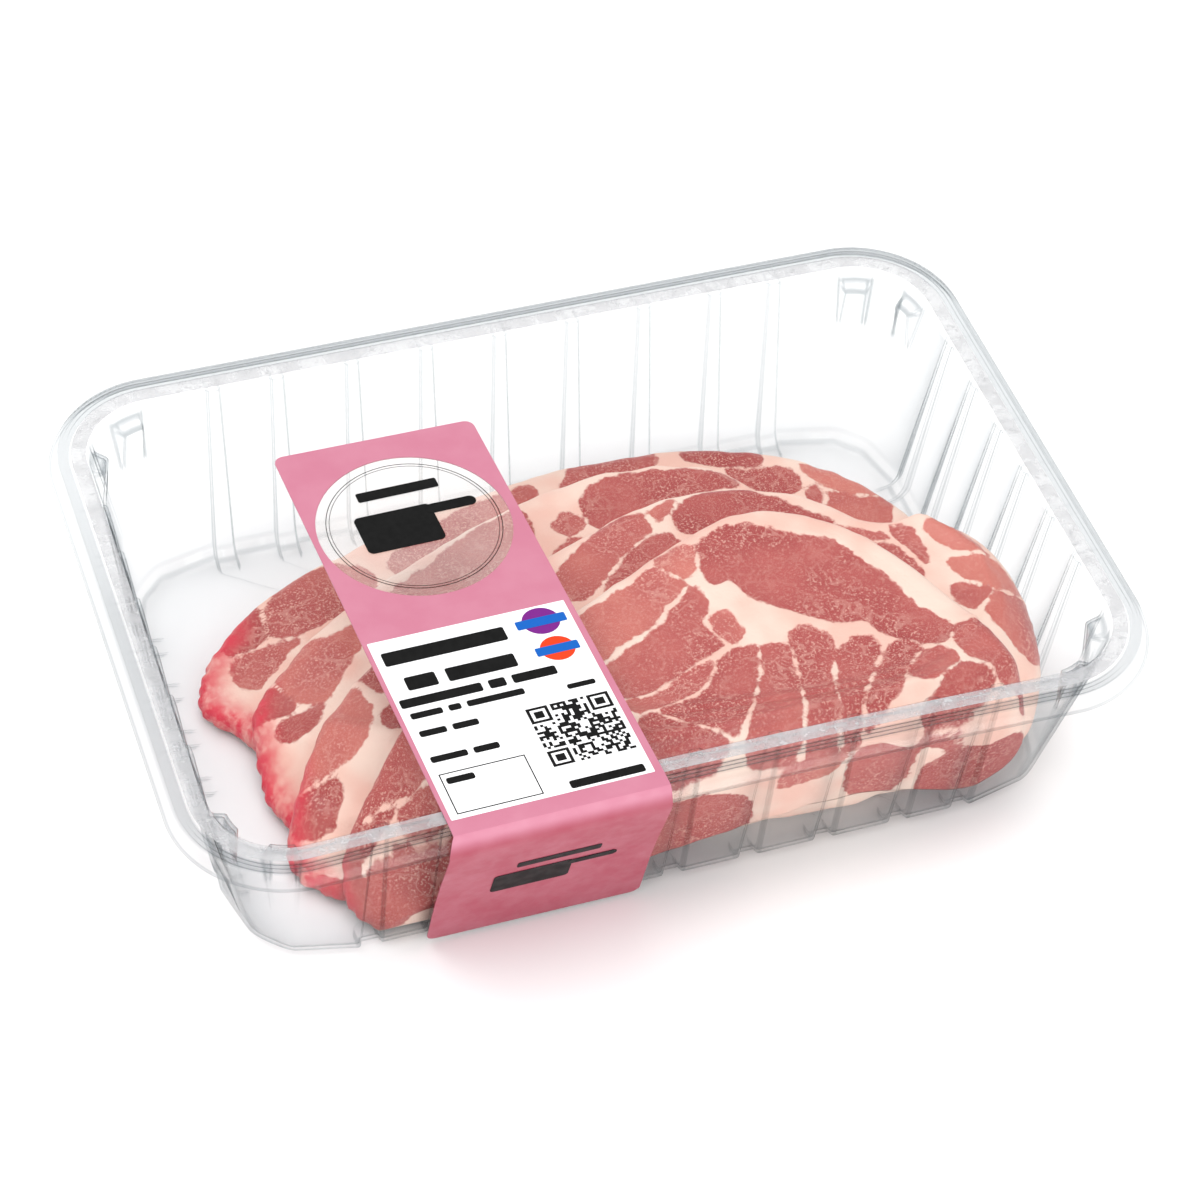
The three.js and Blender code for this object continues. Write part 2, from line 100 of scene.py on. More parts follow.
def tray_ring(z, radius, grooves, lugs):
    """One closed line round the tray, anticlockwise from the front end of the right side."""
    half, depth = (mix(foot, top, z / HEIGHT) for foot, top in zip(GROOVE_FOOT, GROOVE_TOP))
    steps = np.linspace(0, 1, 5)
    points = []

    def side(centres, place):
        for centre in centres:
            for sign, walk in ((-1, steps), (1, steps[::-1])):
                for step in walk:
                    away = half + GROOVE_SLANT * (1 - step)
                    place(centre + sign * away, depth * grooves * ease(step))

    def corner(sx, sy, rising):
        ramps = [ramp for start, end in LUGS
                 for ramp in ((start - LUG_RAMP, start), (end, end + LUG_RAMP))]
        angles = [np.arange(1, 90, 3.0)] + [np.linspace(*ramp, 5) for ramp in ramps]
        angles = np.unique(np.concatenate(angles))
        for degrees in angles if rising else angles[::-1]:
            a = math.radians(degrees)
            away = radius - LUG_DEPTH * lugs * lug_share(degrees) - corner_taper(a, z)
            points.append((sx * (CORNER_X + math.cos(a) * away), sy * (CORNER_Y + math.sin(a) * away), z))

    side(SHORT_GROOVES, lambda y, inward: points.append((CORNER_X + radius - inward, y, z)))
    corner(1, 1, True)
    side(LONG_GROOVES, lambda x, inward: points.append((-x, CORNER_Y + radius - inward, z)))
    corner(-1, 1, False)
    side(SHORT_GROOVES, lambda y, inward: points.append((-CORNER_X - radius + inward, -y, z)))
    corner(-1, -1, True)
    side(LONG_GROOVES, lambda x, inward: points.append(
        (x, -CORNER_Y - radius + inward + front_bow(x, z), z)))
    corner(1, -1, False)
    return np.array(points)


def rounded(stops, reach):
    """The stops with each bend between the first and the last eased over reach on both sides."""
    stops = [np.array(stop, float) for stop in stops]
    out = [stops[0]]
    for before, bend, after in zip(stops, stops[1:], stops[2:]):
        into, away = before - bend, after - bend
        start = bend + into * min(0.45, reach / max(np.hypot(*into[:2]), 1e-6))
        end = bend + away * min(0.45, reach / max(np.hypot(*away[:2]), 1e-6))
        for t in (0, 0.33, 0.67, 1):
            out.append(mix(mix(start, bend, t), mix(bend, end, t), t))
    return out + [stops[-1]]


def add_mesh(name, vertices, faces, material, smooth=True):
    mesh = bpy.data.meshes.new(name)
    mesh.from_pydata([tuple(MM * value for value in point) for point in vertices], [], faces)
    mesh.polygons.foreach_set("use_smooth", [smooth] * len(mesh.polygons))
    mesh.materials.append(material)
    mesh.update()
    piece = bpy.data.objects.new(name, mesh)
    bpy.context.scene.collection.objects.link(piece)
    return piece


def quads(a, b, c, d):
    """One face for each place in four arrays of vertex numbers."""
    return np.stack([a.ravel(), b.ravel(), c.ravel(), d.ravel()], 1).tolist()


def add_shell(name, rings, material):
    """A closed skin over rings that run from the top middle outwards and down to the bottom middle."""
    rings = np.array(rings)
    count, around = rings.shape[:2]
    vertices = np.concatenate([rings.reshape(-1, 3), [rings[0].mean(0), rings[-1].mean(0)]])
    here = np.arange(count * around).reshape(count, around)
    beside = np.roll(here, -1, 1)
    faces = quads(here[:-1], here[1:], beside[1:], beside[:-1])
    top, bottom = count * around, count * around + 1
    for i, j in zip(range(around), beside[0].tolist()):
        last = (count - 1) * around
        faces += [(top, i, j), (bottom, last + j, last + i)]
    return add_mesh(name, vertices, faces, material)


class Graph:
    """A tree of nodes for a finish or a shape. Each call adds a node and gives back its result."""

    def __init__(self, tree):
        self.nodes, self.links = tree.nodes, tree.links

    def add(self, kind, inputs, result=0, **settings):
        """A node with its settings made, and each input set to a number or wired to a socket."""
        node = self.nodes.new(kind)
        for name, value in settings.items():
            setattr(node, name, value)
        for name, value in inputs.items():
            if isinstance(value, bpy.types.NodeSocket):
                self.links.new(value, node.inputs[name])
            else:
                node.inputs[name].default_value = value
        return node.outputs[result] if node.outputs else None

    def reckon(self, operation, *values):
        return self.add("ShaderNodeMath", dict(enumerate(values)), operation=operation)


class Finish(Graph):
    """A material. Its patterns are fixed to the piece, and their scales are per metre."""

    def __init__(self, name):
        self.material = bpy.data.materials.new(name)
        self.material.use_nodes = True
        super().__init__(self.material.node_tree)
        self.nodes.clear()
        self.place = None

    def speckle(self, scale, detail, roughness=0.5):
        if self.place is None:
            self.place = self.add("ShaderNodeTexCoord", {}, "Object")
        return self.add("ShaderNodeTexNoise", {"Vector": self.place, "Scale": scale, "Detail": detail,
                                               "Roughness": roughness}, "Fac")

    def field(self, name):
        return self.add("ShaderNodeAttribute", {}, "Fac", attribute_name=name)

    def ranged(self, value, low, high, to_low=0.0, to_high=1.0):
        """The value taken smoothly from low..high to to_low..to_high, and held at both ends."""
        return self.add("ShaderNodeMapRange", {
            "Value": value, "From Min": low, "From Max": high, "To Min": to_low, "To Max": to_high,
        }, "Result", interpolation_type="SMOOTHSTEP")

    def blend(self, factor, first, second):
        """A colour that goes from first to second with the factor. Each is a colour or a socket."""
        first, second = ((*colour, 1) if isinstance(colour, tuple) else colour
                         for colour in (first, second))
        return self.add("ShaderNodeMix", {"Factor": factor, "A": first, "B": second}, "Result",
                        data_type="RGBA")

    def relief(self, strength, distance, height):
        return self.add("ShaderNodeBump", {"Strength": strength, "Distance": distance, "Height": height},
                        "Normal")

    def done(self, shader):
        self.add("ShaderNodeOutputMaterial", {"Surface": shader})
        return self.material

    def coat(self, inputs):
        """The material with one principled layer."""
        return self.done(self.add("ShaderNodeBsdfPrincipled", inputs, "BSDF"))


def clear_plastic(name, face_tint, edge_tint, gloss, roughness):
    """Clear sheet: it lets the light through, greys where it is seen edge on, and shines like glass.
    Along its bends it has painted shade for the dark lines that bent light gives in thick plastic. Facing
    is 0 where a face is seen square on and 1 edge on."""
    clear = Finish(name)
    facing = clear.add("ShaderNodeLayerWeight", {"Blend": 0.5}, "Facing")
    # Painted shade: the bends are tinted grey, standing in for light bent by the thick curved plastic.
    sheet_tint = clear.blend(clear.field("bend"), face_tint, BEND_PAINTED_SHADE)
    tint = clear.blend(clear.reckon("POWER", facing, EDGE_POWER), sheet_tint, edge_tint)
    shine = clear.add("ShaderNodeBsdfGlossy", {"Color": (gloss, gloss, gloss, 1), "Roughness": roughness})
    mirror = clear.ranged(clear.reckon("POWER", facing, MIRROR_POWER), 0, 1, MIRROR_LEAST, MIRROR_MOST)
    through = clear.add("ShaderNodeBsdfTransparent", {"Color": tint})
    return clear.done(clear.add("ShaderNodeMixShader", {"Fac": mirror, 1: through, 2: shine}))


def add_field(piece, name, values):
    field = piece.data.attributes.new(name, "FLOAT", "POINT")
    field.data.foreach_set("value", np.asarray(values, np.float32))


def turn_at(rings, axis):
    """How far the skin turns at each point along one axis of its rings, in degrees. Only a bend
    made of short steps counts, so that the flat faces beside it stay clear."""
    ahead = np.roll(rings, -1, axis) - rings
    lengths = np.linalg.norm(ahead, axis=2)
    ahead /= np.maximum(lengths, 1e-6)[:, :, None]
    cosine = (ahead * np.roll(ahead, 1, axis)).sum(2)
    short = np.maximum(lengths, np.roll(lengths, 1, axis)) < BEND_REACH
    return short * np.degrees(np.arccos(np.clip(cosine, -1, 1)))


def wall(z, inset, lugs):
    return z, float(wall_radius(z)) - inset, 1, lugs


channel = []
for start, end in CHANNEL_RADII:
    for radius, deep in ((start, 0), (start + CHANNEL_SIDE, 1), (end - CHANNEL_SIDE, 1), (end, 0)):
        channel.append((HEIGHT - CHANNEL_DEPTH * deep, radius, 0, 0))
inside = [
    (SHEET, BASE_RADIUS - SHEET / 2 - BASE_EDGE, END_GROOVES, 0),
    (SHEET, BASE_RADIUS - SHEET / 2, END_GROOVES, 0),
    (SHEET + HEEL_HEIGHT, HEEL_RADIUS - SHEET / 2, 1, 0),
    wall(FOOT_HEIGHT + SHEET, SHEET, 0),
    wall(WAIST, SHEET, 0),
    wall(LUG_FOOT, SHEET, LUG_START),
    wall(LUG_TOP, SHEET, 1),
    (LUG_SHOULDER, MOUTH_RADIUS - SHEET / 2, 1, LUG_END),
    (HEIGHT - MOUTH_EASE, MOUTH_RADIUS, 1, 0),
    (HEIGHT, MOUTH_RADIUS + MOUTH_EASE, END_GROOVES, 0),
]
rim = [
    (HEIGHT, FLANGE_RADIUS, 0, 0),
    (HEIGHT - LIP_DROP, LIP_RADIUS, 0, 0),
    (HEIGHT - LIP_DROP, LIP_RADIUS - LIP_WIDTH, 0, 0),
    (HEIGHT - SHEET, FLANGE_RADIUS - SHEET, 0, 0),
]
outside = [
    (HEIGHT - SHEET, MOUTH_RADIUS + SHEET, 1, 0),
    (LUG_SHOULDER - SHEET, MOUTH_RADIUS + SHEET / 2, 1, LUG_END),
    wall(LUG_TOP - SHEET, 0, 1),
    wall(LUG_FOOT, 0, LUG_START),
    wall(WAIST, 0, 0),
    wall(FOOT_HEIGHT, 0, 0),
    wall(HEEL_HEIGHT, 0, 0),
    (0, BASE_RADIUS, END_GROOVES, 0),
    (0, BASE_RADIUS - BASE_EDGE, END_GROOVES, 0),
]
tray_sheet = clear_plastic("tray sheet", TRAY_CLEAR, TRAY_EDGE_ON, 0.85, 0.06)
profile = rounded(inside, BEND) + channel + rounded(rim, RIM_BEND) + rounded(outside, BEND)
tray_rings = np.array([tray_ring(*stop) for stop in profile])
tray = add_shell("tray_shell", tray_rings, tray_sheet)
# The bends set where the clear sheet gets painted shade, for the dark lines that light bent through its
# thick curves gives.
bends = np.maximum(turn_at(tray_rings, 0), turn_at(tray_rings, 1))
bends[[0, -1]] = 0
bends = ease((bends - BEND_FROM) / (BEND_TO - BEND_FROM))
add_field(tray, "bend", [*bends.ravel(), 0, 0])
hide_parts("tray")
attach(tray, "root")

# Base ribs: six shallow swellings along the tray. They are pressed into its base from the same
# sheet, and they keep it flat under the weight of the slices.
RIB_LENGTH, RIB_WIDTH, RIB_HEIGHT, RIB_COUNT, RIB_PITCH = 186.0, 3.2, 0.7, 6, 19.0
RIB_RISE, RIB_ROUNDING = 0.1, 3


class Pattern(Graph):
    """A geometry tree with a named input for each size, which sets copies of a shape on points."""

    def __init__(self, name, sizes):
        self.tree, self.sizes = bpy.data.node_groups.new(name, "GeometryNodeTree"), sizes
        sockets = self.tree.interface
        sockets.new_socket("Line", in_out="INPUT", socket_type="NodeSocketGeometry")
        for size, value in sizes.items():
            kind = {float: "NodeSocketFloat", int: "NodeSocketInt"}.get(type(value), "NodeSocketMaterial")
            sockets.new_socket(size, in_out="INPUT", socket_type=kind)
        sockets.new_socket("Mesh", in_out="OUTPUT", socket_type="NodeSocketGeometry")
        super().__init__(self.tree)
        self.given = self.nodes.new("NodeGroupInput").outputs

    def sized(self, x, y, z):
        return self.add("ShaderNodeCombineXYZ", {"X": x, "Y": y, "Z": z})

    def grow(self, name, line, copies):
        """The copies made real mesh with their finish, over a line of points, as a plain piece."""
        copied = self.add("GeometryNodeInstanceOnPoints", copies)
        real = self.add("GeometryNodeRealizeInstances", {"Geometry": copied})
        coated = self.add("GeometryNodeSetMaterial", {"Geometry": real, "Material": self.given["Finish"]})
        self.add("NodeGroupOutput", {"Mesh": coated})
        start = bpy.data.meshes.new(name)
        edges = [(i, (i + 1) % len(line)) for i in range(len(line))] if len(line) > 1 else []
        start.from_pydata([tuple(MM * value for value in point) for point in line], edges, [])
        piece = bpy.data.objects.new(name, start)
        bpy.context.scene.collection.objects.link(piece)
        modifier = piece.modifiers.new(name, "NODES")
        modifier.node_group = self.tree
        for item in self.tree.interface.items_tree:
            if item.in_out == "INPUT" and item.name in self.sizes:
                modifier[item.identifier] = self.sizes[item.name]
        depsgraph = bpy.context.evaluated_depsgraph_get()
        grown = bpy.data.meshes.new_from_object(piece.evaluated_get(depsgraph))
        piece.modifiers.remove(modifier)
        piece.data = grown
        return piece


pressed = Pattern("base ribs", {
    "Rib length": RIB_LENGTH * MM, "Rib width": RIB_WIDTH * MM, "Rib height": RIB_HEIGHT * MM,
    "Ribs": RIB_COUNT, "Pitch": RIB_PITCH * MM, "Base": (SHEET + RIB_RISE) * MM, "Finish": tray_sheet,
})
given = pressed.given
bar = pressed.sized(given["Rib length"], given["Rib width"], given["Rib height"])
bar = pressed.add("GeometryNodeMeshCube", {"Size": bar})
bar = pressed.add("GeometryNodeSubdivisionSurface", {"Mesh": bar, "Level": RIB_ROUNDING})
gaps = pressed.reckon("SUBTRACT", given["Ribs"], 1)
outermost = pressed.reckon("MULTIPLY", gaps, pressed.reckon("MULTIPLY", given["Pitch"], -0.5))
row = pressed.add("GeometryNodeMeshLine", {
    "Count": given["Ribs"], "Start Location": pressed.sized(0, outermost, given["Base"]),
    "Offset": pressed.sized(0, given["Pitch"], 0),
})
ribs = pressed.grow("base_ribs", [(0, 0, 0)], {"Points": row, "Instance": bar})
ribs.data.polygons.foreach_set("use_smooth", [True] * len(ribs.data.polygons))
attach(ribs, "root")

# Seal ticks: a fine knurl of short bars across the flange, all round the mouth. The heated head
# that welds the film presses it into the tray's plastic.
TICK_LINE, TICK_LENGTH, TICK_WIDTH, TICK_HEIGHT, TICK_PITCH = 21.9, 3.2, 0.5, 0.14, 1.15
knurl = Pattern("seal ticks", {
    "Pitch": TICK_PITCH * MM, "Tick length": TICK_LENGTH * MM, "Tick width": TICK_WIDTH * MM,
    "Tick height": TICK_HEIGHT * MM, "Finish": tray_sheet,
})
given = knurl.given
run = knurl.add("GeometryNodeMeshToCurve", {"Mesh": given["Line"]})
stops = knurl.add("GeometryNodeCurveToPoints", {"Curve": run, "Length": given["Pitch"]}, "Points",
                  mode="LENGTH")
across = knurl.add("FunctionNodeAlignRotationToVector", {"Vector": stops.node.outputs["Tangent"]},
                   axis="X", pivot_axis="Z")
tick = knurl.sized(given["Tick width"], given["Tick length"], given["Tick height"])
tick = knurl.add("GeometryNodeMeshCube", {"Size": tick})
ticks = knurl.grow("seal_ticks", tray_ring(HEIGHT + TICK_HEIGHT / 2, TICK_LINE, 0, 0),
                   {"Points": stops, "Instance": tick, "Rotation": across})
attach(ticks, "root")

# Film: a clear web pulled taut over the mouth and welded to the flange all round, then cut
# just inside the rim's bend.
GAP = 0.25
FILM_THICKNESS, FILM_RADIUS, FILM_MARGIN = 0.3, 27.6, 1.0
FILM_CLEAR, FILM_EDGE_ON = (0.996, 0.996, 0.997), (0.9, 0.91, 0.92)
film_sheet = clear_plastic("lidding film", FILM_CLEAR, FILM_EDGE_ON, 0.4, 0.08)
film_edge = tray_ring(HEIGHT, FILM_RADIUS, 0, 0)[::2]
film_rings = []
for inset, z in ((FILM_MARGIN, FILM_THICKNESS), (0, FILM_THICKNESS), (0, 0), (FILM_MARGIN, 0)):
    ring = film_edge.copy()
    ring[:, :2] *= 1 - inset / LENGTH
    ring[:, 2] = HEIGHT + GAP + z
    film_rings.append(ring)
film = add_shell("film_sheet", film_rings, film_sheet)
film.data.polygons.foreach_set("use_smooth", [False] * len(film.data.polygons))
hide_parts("lidding_film")
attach(film, "root")

# Weld: the ring where film and flange are melted together, a little milky, with painted glints:
# patches of the milky layer made more opaque, standing in for light caught on the crinkled seal. The
# sealing head leaves it between them, under the film.
WELD_IN, WELD_OUT, WELD_LOW, WELD_THICKNESS = 20.2, 24.2, HEIGHT + 0.17, 0.06
WELD_MILK, WELD_PAINTED_GLINT, WELD_GREY = (0.3, 0.55), 0.3, (0.56, 0.56, 0.57, 1)


def add_hoop(name, rings, material):
    """A closed hoop whose section runs through the rings and back to the first."""
    here = np.arange(len(rings) * len(rings[0])).reshape(len(rings), -1)
    beside = np.roll(here, -1, 1)
    faces = quads(here, beside, np.roll(beside, -1, 0), np.roll(here, -1, 0))
    return add_mesh(name, np.concatenate(rings), faces, material, smooth=False)


def weld_glue():
    """The melted layer: milky and uneven, with painted glints where the crinkled seal would catch the
    light.
    """
    layer = Finish("weld layer")
    milk = layer.ranged(layer.speckle(160, 4, 0.6), 0.35, 0.7, *WELD_MILK)
    # Painted glints: spots of extra cover that stand in for highlights on the crinkled seal.
    painted_glints = layer.ranged(layer.speckle(420, 3, 0.7), 0.58, 0.66, 0, WELD_PAINTED_GLINT)
    return layer.coat({"Base Color": WELD_GREY, "Roughness": 0.25,
                       "Alpha": layer.reckon("ADD", milk, painted_glints)})


weld_section = ((WELD_LOW, WELD_IN), (WELD_LOW, WELD_OUT), (WELD_LOW + WELD_THICKNESS, WELD_OUT),
                (WELD_LOW + WELD_THICKNESS, WELD_IN))
weld = add_hoop("weld_band", [tray_ring(z, radius, 0, 0)[::2] for z, radius in weld_section], weld_glue())
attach(weld, "root")

# Chops: four slices across a pork neck, 10 mm thick, laid in a fan from the back to the front,
# each hanging soft over the ones below. Lean muscles lie between seams of cream fat that run
# through the slice, with fine marbling inside them.
CHOP_THICKNESS = 10.6
CHOP_GAP, UNDER_SINK = 1.1, 0.75
CHOP_SECTORS = 440
TAIL_LENGTH, TAIL_SHARE = 38.0, 0.55
CHOP_RINGS, MIDDLE_SHARE = 96, 0.015
STRETCH_LIMIT = 2.0
WALL_CLEARANCE = 0.5
GRID_STEP, GRID_X, GRID_Y = 1.25, 120.0, 82.5
COLUMNS = int(2 * GRID_X / GRID_STEP) + 1
ROWS = int(2 * GRID_Y / GRID_STEP) + 1
BLUR_PASSES = 12
RAGGED_RIM, RAGGED_TAIL, FAT_RISE, RELIEF = 0.7, 1.0, 0.3, 0.2
RIM_WAVE, TAIL_WAVE, SIDE_WAVE, RELIEF_WAVE = 7.0, 2.4, 9.0, 5.0
SIDE_FADE, SIDE_RINGS, RAW_FADE, UNDER_STEP = 6.0, 4, 10.0, 4
SIDE_SEED, TAIL_SEED, RELIEF_SEED = 3, 9, 20
FIELD_REACH, MUSCLE_SWELL, SEAM_HALF = 12.0, 0.6, 0.34
LINE_SCALE, PATCH_SCALE, FLECK_SCALE, BUNDLE_SCALE, GRAIN_SCALE = 210.0, 55.0, 1500.0, 95.0, 650.0
FAT_CREAM, FAT_PINK = (0.77, 0.58, 0.49), (0.74, 0.45, 0.37)
LEAN_SALMON, LEAN_PINK, LEAN_DARK = (0.53, 0.16, 0.127), (0.41, 0.092, 0.082), (0.32, 0.05, 0.047)
BLOOD_RED = (0.6, 0.022, 0.05)
RIM_INSET = [4.6, 3.5, 2.5, 1.7, 1.05, 0.55, 0.2, 0.03, 0, 0.06, 0.3, 0.75, 1.4, 2.2]
RIM_LEVEL = [1, 0.985, 0.96, 0.92, 0.86, 0.78, 0.68, 0.58, 0.46, 0.34, 0.22, 0.12, 0.05, 0]
CHOPS = [
    {
        "name": "chop_1", "raw_width": 12.0, "raw_to": -78.0, "droop": 1.0,
        "outline": [(107, 16), (99, 38), (81, 55), (59, 65), (20, 69), (-11, 65), (-48, 55), (-79, 43),
                    (-97, 28), (-102, 14), (-96, 4), (-84, -16), (-50, -44), (10, -59), (70, -60),
                    (102, -36)],
        "muscles": [
            (0.6, [(19, 67), (31, 70), (42, 69), (43, 62), (26, 61), (14, 59)]),
            (0.85, [(50, 63), (62, 67), (73, 62), (70, 52), (61, 55)]),
            (0.7, [(61, 54), (74, 51), (79, 48), (79, 41), (70, 41)]),
            (0.6, [(80, 40), (83, 41), (84, 34), (80, 35)]),
            (0.45, [(83, 33), (86, 37), (95, 33), (101, 31), (98, 22), (91, 18), (85, 25)]),
            (0.1, [(83, 50), (90, 46), (98, 41), (103, 34), (94, 35), (85, 42)]),
            (1.0, [(-92, 32), (-89, 40), (-81, 43), (-80, 36), (-82, 28), (-91, 27)]),
            (0.5, [(-78, 39), (-72, 45), (-62, 48), (-50, 46), (-47, 37), (-58, 31), (-70, 28),
                    (-78, 29)]),
            (0.5, [(-91, 24), (-84, 26), (-73, 25), (-79, 20), (-88, 13), (-92, 18)]),
            (0.55, [(-42, 44), (-30, 53), (-12, 60), (6, 62), (2, 52), (-20, 44), (-36, 37)]),
            (0.5, [(-40, 30), (-20, 38), (0, 45), (8, 36), (-10, 24), (-34, 20)]),
        ],
    },
    {
        "name": "chop_2", "raw_width": 9.0, "raw_to": -80.0, "droop": 1.1,
        "outline": [(109, -24), (102, -4), (88, 10), (67, 27), (54, 46), (26, 53), (-8, 47), (-48, 30),
                    (-80, 12), (-92, 0), (-94, -13), (-92, -29), (-80, -46), (0, -64), (70, -66),
                    (102, -54)],
        "muscles": [
            (0.75, [(13, 41), (17, 47), (25, 49), (37, 48), (50, 45), (58, 37), (46, 37), (34, 35),
                    (14, 32)]),
            (0.5, [(2, 35), (8, 39), (11, 34), (7, 31)]),
            (0.5, [(-2, 23), (5, 29), (9, 29), (7, 24), (1, 19)]),
            (0.35, [(-83, 12), (-75, 16), (-66, 14), (-58, 16), (-60, 9), (-67, 2), (-73, -5),
                    (-79, -4), (-84, 4)]),
            (0.95, [(-92, 3), (-86, 6), (-82, 0), (-83, -5), (-89, -5), (-93, -2)]),
            (0.9, [(-88, -8), (-81, -7), (-75, -6), (-80, -13), (-86, -13)]),
            (0.6, [(-50, 21), (-36, 30), (-18, 40), (-4, 44), (-6, 30), (-22, 20), (-42, 10)]),
            (0.5, [(-52, 4), (-36, 8), (-14, 18), (-8, 10), (-26, -4), (-46, -8)]),
        ],
    },
    {
        "name": "chop_3", "raw_width": 9.0, "raw_to": -80.0, "droop": 1.1,
        "outline": [(116, -38), (113, -18), (107, -5), (99, 2), (90, 2), (81, 6), (73, 15), (54, 26),
                    (30, 28), (0, 19), (-40, 4), (-70, -12), (-88, -29), (-94, -43), (-87, -55), (-70, -61),
                    (-40, -66), (70, -68.5), (104, -61)],
        "muscles": [
            (0.5, [(-10, 3), (-3, 11), (7, 18), (16, 23), (25, 21), (24, 17), (15, 11), (6, 3),
                    (-3, -3)]),
            (0.7, [(4, -2), (7, 3), (19, 12), (26, 14), (29, 8), (18, 2), (9, -3)]),
            (0.4, [(24, 22), (29, 24), (33, 26), (29, 21), (25, 18)]),
            (0.85, [(31, 20), (38, 25), (47, 26), (56, 22), (63, 15), (72, 5), (61, 8), (49, 12),
                    (37, 11), (31, 14)]),
            (0.4, [(72, 3), (80, 0), (85, -4), (78, -3)]),
            (0.6, [(77, -6), (85, -7), (88, -15), (87, -21), (81, -20), (77, -13)]),
            (0.5, [(86, -1), (91, -2), (92, -9), (91, -16), (88, -10)]),
            (0.1, [(95, -4), (101, -1), (105, -9), (107, -18), (100, -13)]),
            (0.12, [(96, -17), (100, -16), (109, -22), (113, -30), (106, -31), (98, -22)]),
            (0.6, [(94, -26), (98, -26), (102, -32), (97, -35), (93, -31)]),
            (0.35, [(99, -36), (105, -32), (114, -34), (114, -44), (109, -50), (103, -47)]),
            (0.6, [(-66, -2), (-60, -3), (-58, -14), (-62, -18), (-66, -12)]),
            (0.6, [(-64, -25), (-58, -24), (-58, -31), (-64, -31)]),
            (0.3, [(-79, -17), (-75, -13), (-69, -14), (-67, -23), (-71, -31), (-80, -32), (-88, -31),
                    (-83, -24)]),
            (0.8, [(-92, -36), (-86, -31), (-79, -34), (-79, -38), (-84, -44), (-91, -40)]),
            (0.5, [(-52, 0), (-36, 6), (-18, 12), (-14, 2), (-30, -10), (-50, -12)]),
        ],
    },
    {
        "name": "chop_4", "raw_width": 3.0, "raw_to": -78.0, "droop": 1.9,
        "outline": [(97, -70), (91, -48), (80, -20), (66, -2), (46, 7), (24, 1), (-4, -12), (-40, -28),
                    (-70, -43), (-84, -56), (-80, -67), (-60, -76), (0, -79), (50, -78), (86, -79)],
        "muscles": [
            (0.75, [(28, -4), (34, 0), (43, 1), (53, -5), (63, -11), (70, -22), (76, -38), (82, -50),
                    (77, -54), (66, -47), (61, -40), (55, -39), (49, -35), (41, -29), (35, -22),
                    (33, -17), (28, -17), (27, -10)]),
            (0.15, [(16, -6), (23, -2), (27, -4), (25, -11), (21, -13)]),
            (0.35, [(-12, -21), (-3, -16), (8, -11), (15, -8), (20, -15), (18, -20), (12, -22),
                    (8, -26), (-5, -32), (-13, -37)]),
            (0.35, [(22, -29), (28, -28), (29, -35), (26, -38), (22, -35)]),
            (0.6, [(11, -27), (15, -21), (22, -17), (24, -23), (21, -29), (23, -37), (17, -41),
                    (1, -48), (-9, -48), (-12, -41), (-3, -34)]),
            (0.45, [(18, -43), (16, -48), (9, -52), (-2, -55), (-8, -54), (-9, -51), (0, -50),
                    (11, -44)]),
            (0.7, [(19, -44), (26, -41), (31, -41), (27, -52), (18, -66), (14, -69), (7, -65),
                    (-1, -57), (10, -54), (15, -50)]),
            (0.85, [(-7, -58), (-1, -58), (6, -66), (13, -70), (5, -73), (-7, -72)]),
            (0.6, [(32, -42), (38, -42), (37, -52), (34, -65), (30, -74), (17, -74), (23, -61),
                    (29, -50)]),
            (0.65, [(40, -40), (46, -38), (50, -43), (45, -58), (40, -75), (33, -75), (37, -59),
                    (40, -47)]),
            (0.65, [(51, -49), (58, -45), (62, -50), (58, -57), (49, -68), (46, -76), (42, -74),
                    (47, -58)]),
            (0.7, [(62, -52), (68, -50), (71, -53), (62, -65), (55, -71), (49, -74), (53, -65)]),
            (0.6, [(71, -56), (77, -57), (78, -62), (67, -67), (63, -63)]),
            (0.75, [(77, -64), (82, -64), (87, -66), (78, -73), (64, -74), (70, -69)]),
            (0.6, [(82, -51), (88, -49), (94, -53), (97, -64), (92, -68), (82, -61)]),
            (0.6, [(-78, -44), (-71, -39), (-63, -39), (-59, -50), (-63, -54), (-70, -52), (-78, -51)]),
            (0.95, [(-82, -53), (-77, -52), (-70, -54), (-76, -57), (-83, -58)]),
            (0.5, [(-69, -56), (-62, -55), (-55, -58), (-60, -63), (-68, -60)]),
            (0.65, [(-80, -62), (-72, -61), (-60, -66), (-52, -64), (-50, -74), (-62, -77), (-76, -75)]),
        ],
    },
]

SIDE_FROM = -48.0
SIDE_MUSCLES = [
    (0.7, [(-98, 6), (-97, 26), (-88, 38), (-72, 36), (-66, 20), (-72, 6), (-86, 2)]),
    (0.6, [(-60, 4), (-61, 24), (-48, 44), (-34, 38), (-32, 14), (-44, 2)]),
    (0.75, [(-26, 2), (-28, 20), (-14, 32), (4, 34), (16, 30), (20, 16), (12, 4), (-4, 0)]),
    (0.15, [(26, 30), (30, 40), (40, 42), (42, 33)]),
    (0.6, [(47, 20), (46, 36), (52, 46), (62, 44), (64, 26), (58, 15)]),
    (0.95, [(70, 4), (68, 22), (80, 31), (94, 28), (98, 12), (88, 1)]),
    (0.8, [(70, 34), (72, 48), (86, 52), (104, 50), (114, 40), (104, 26), (96, 32), (82, 35)]),
]


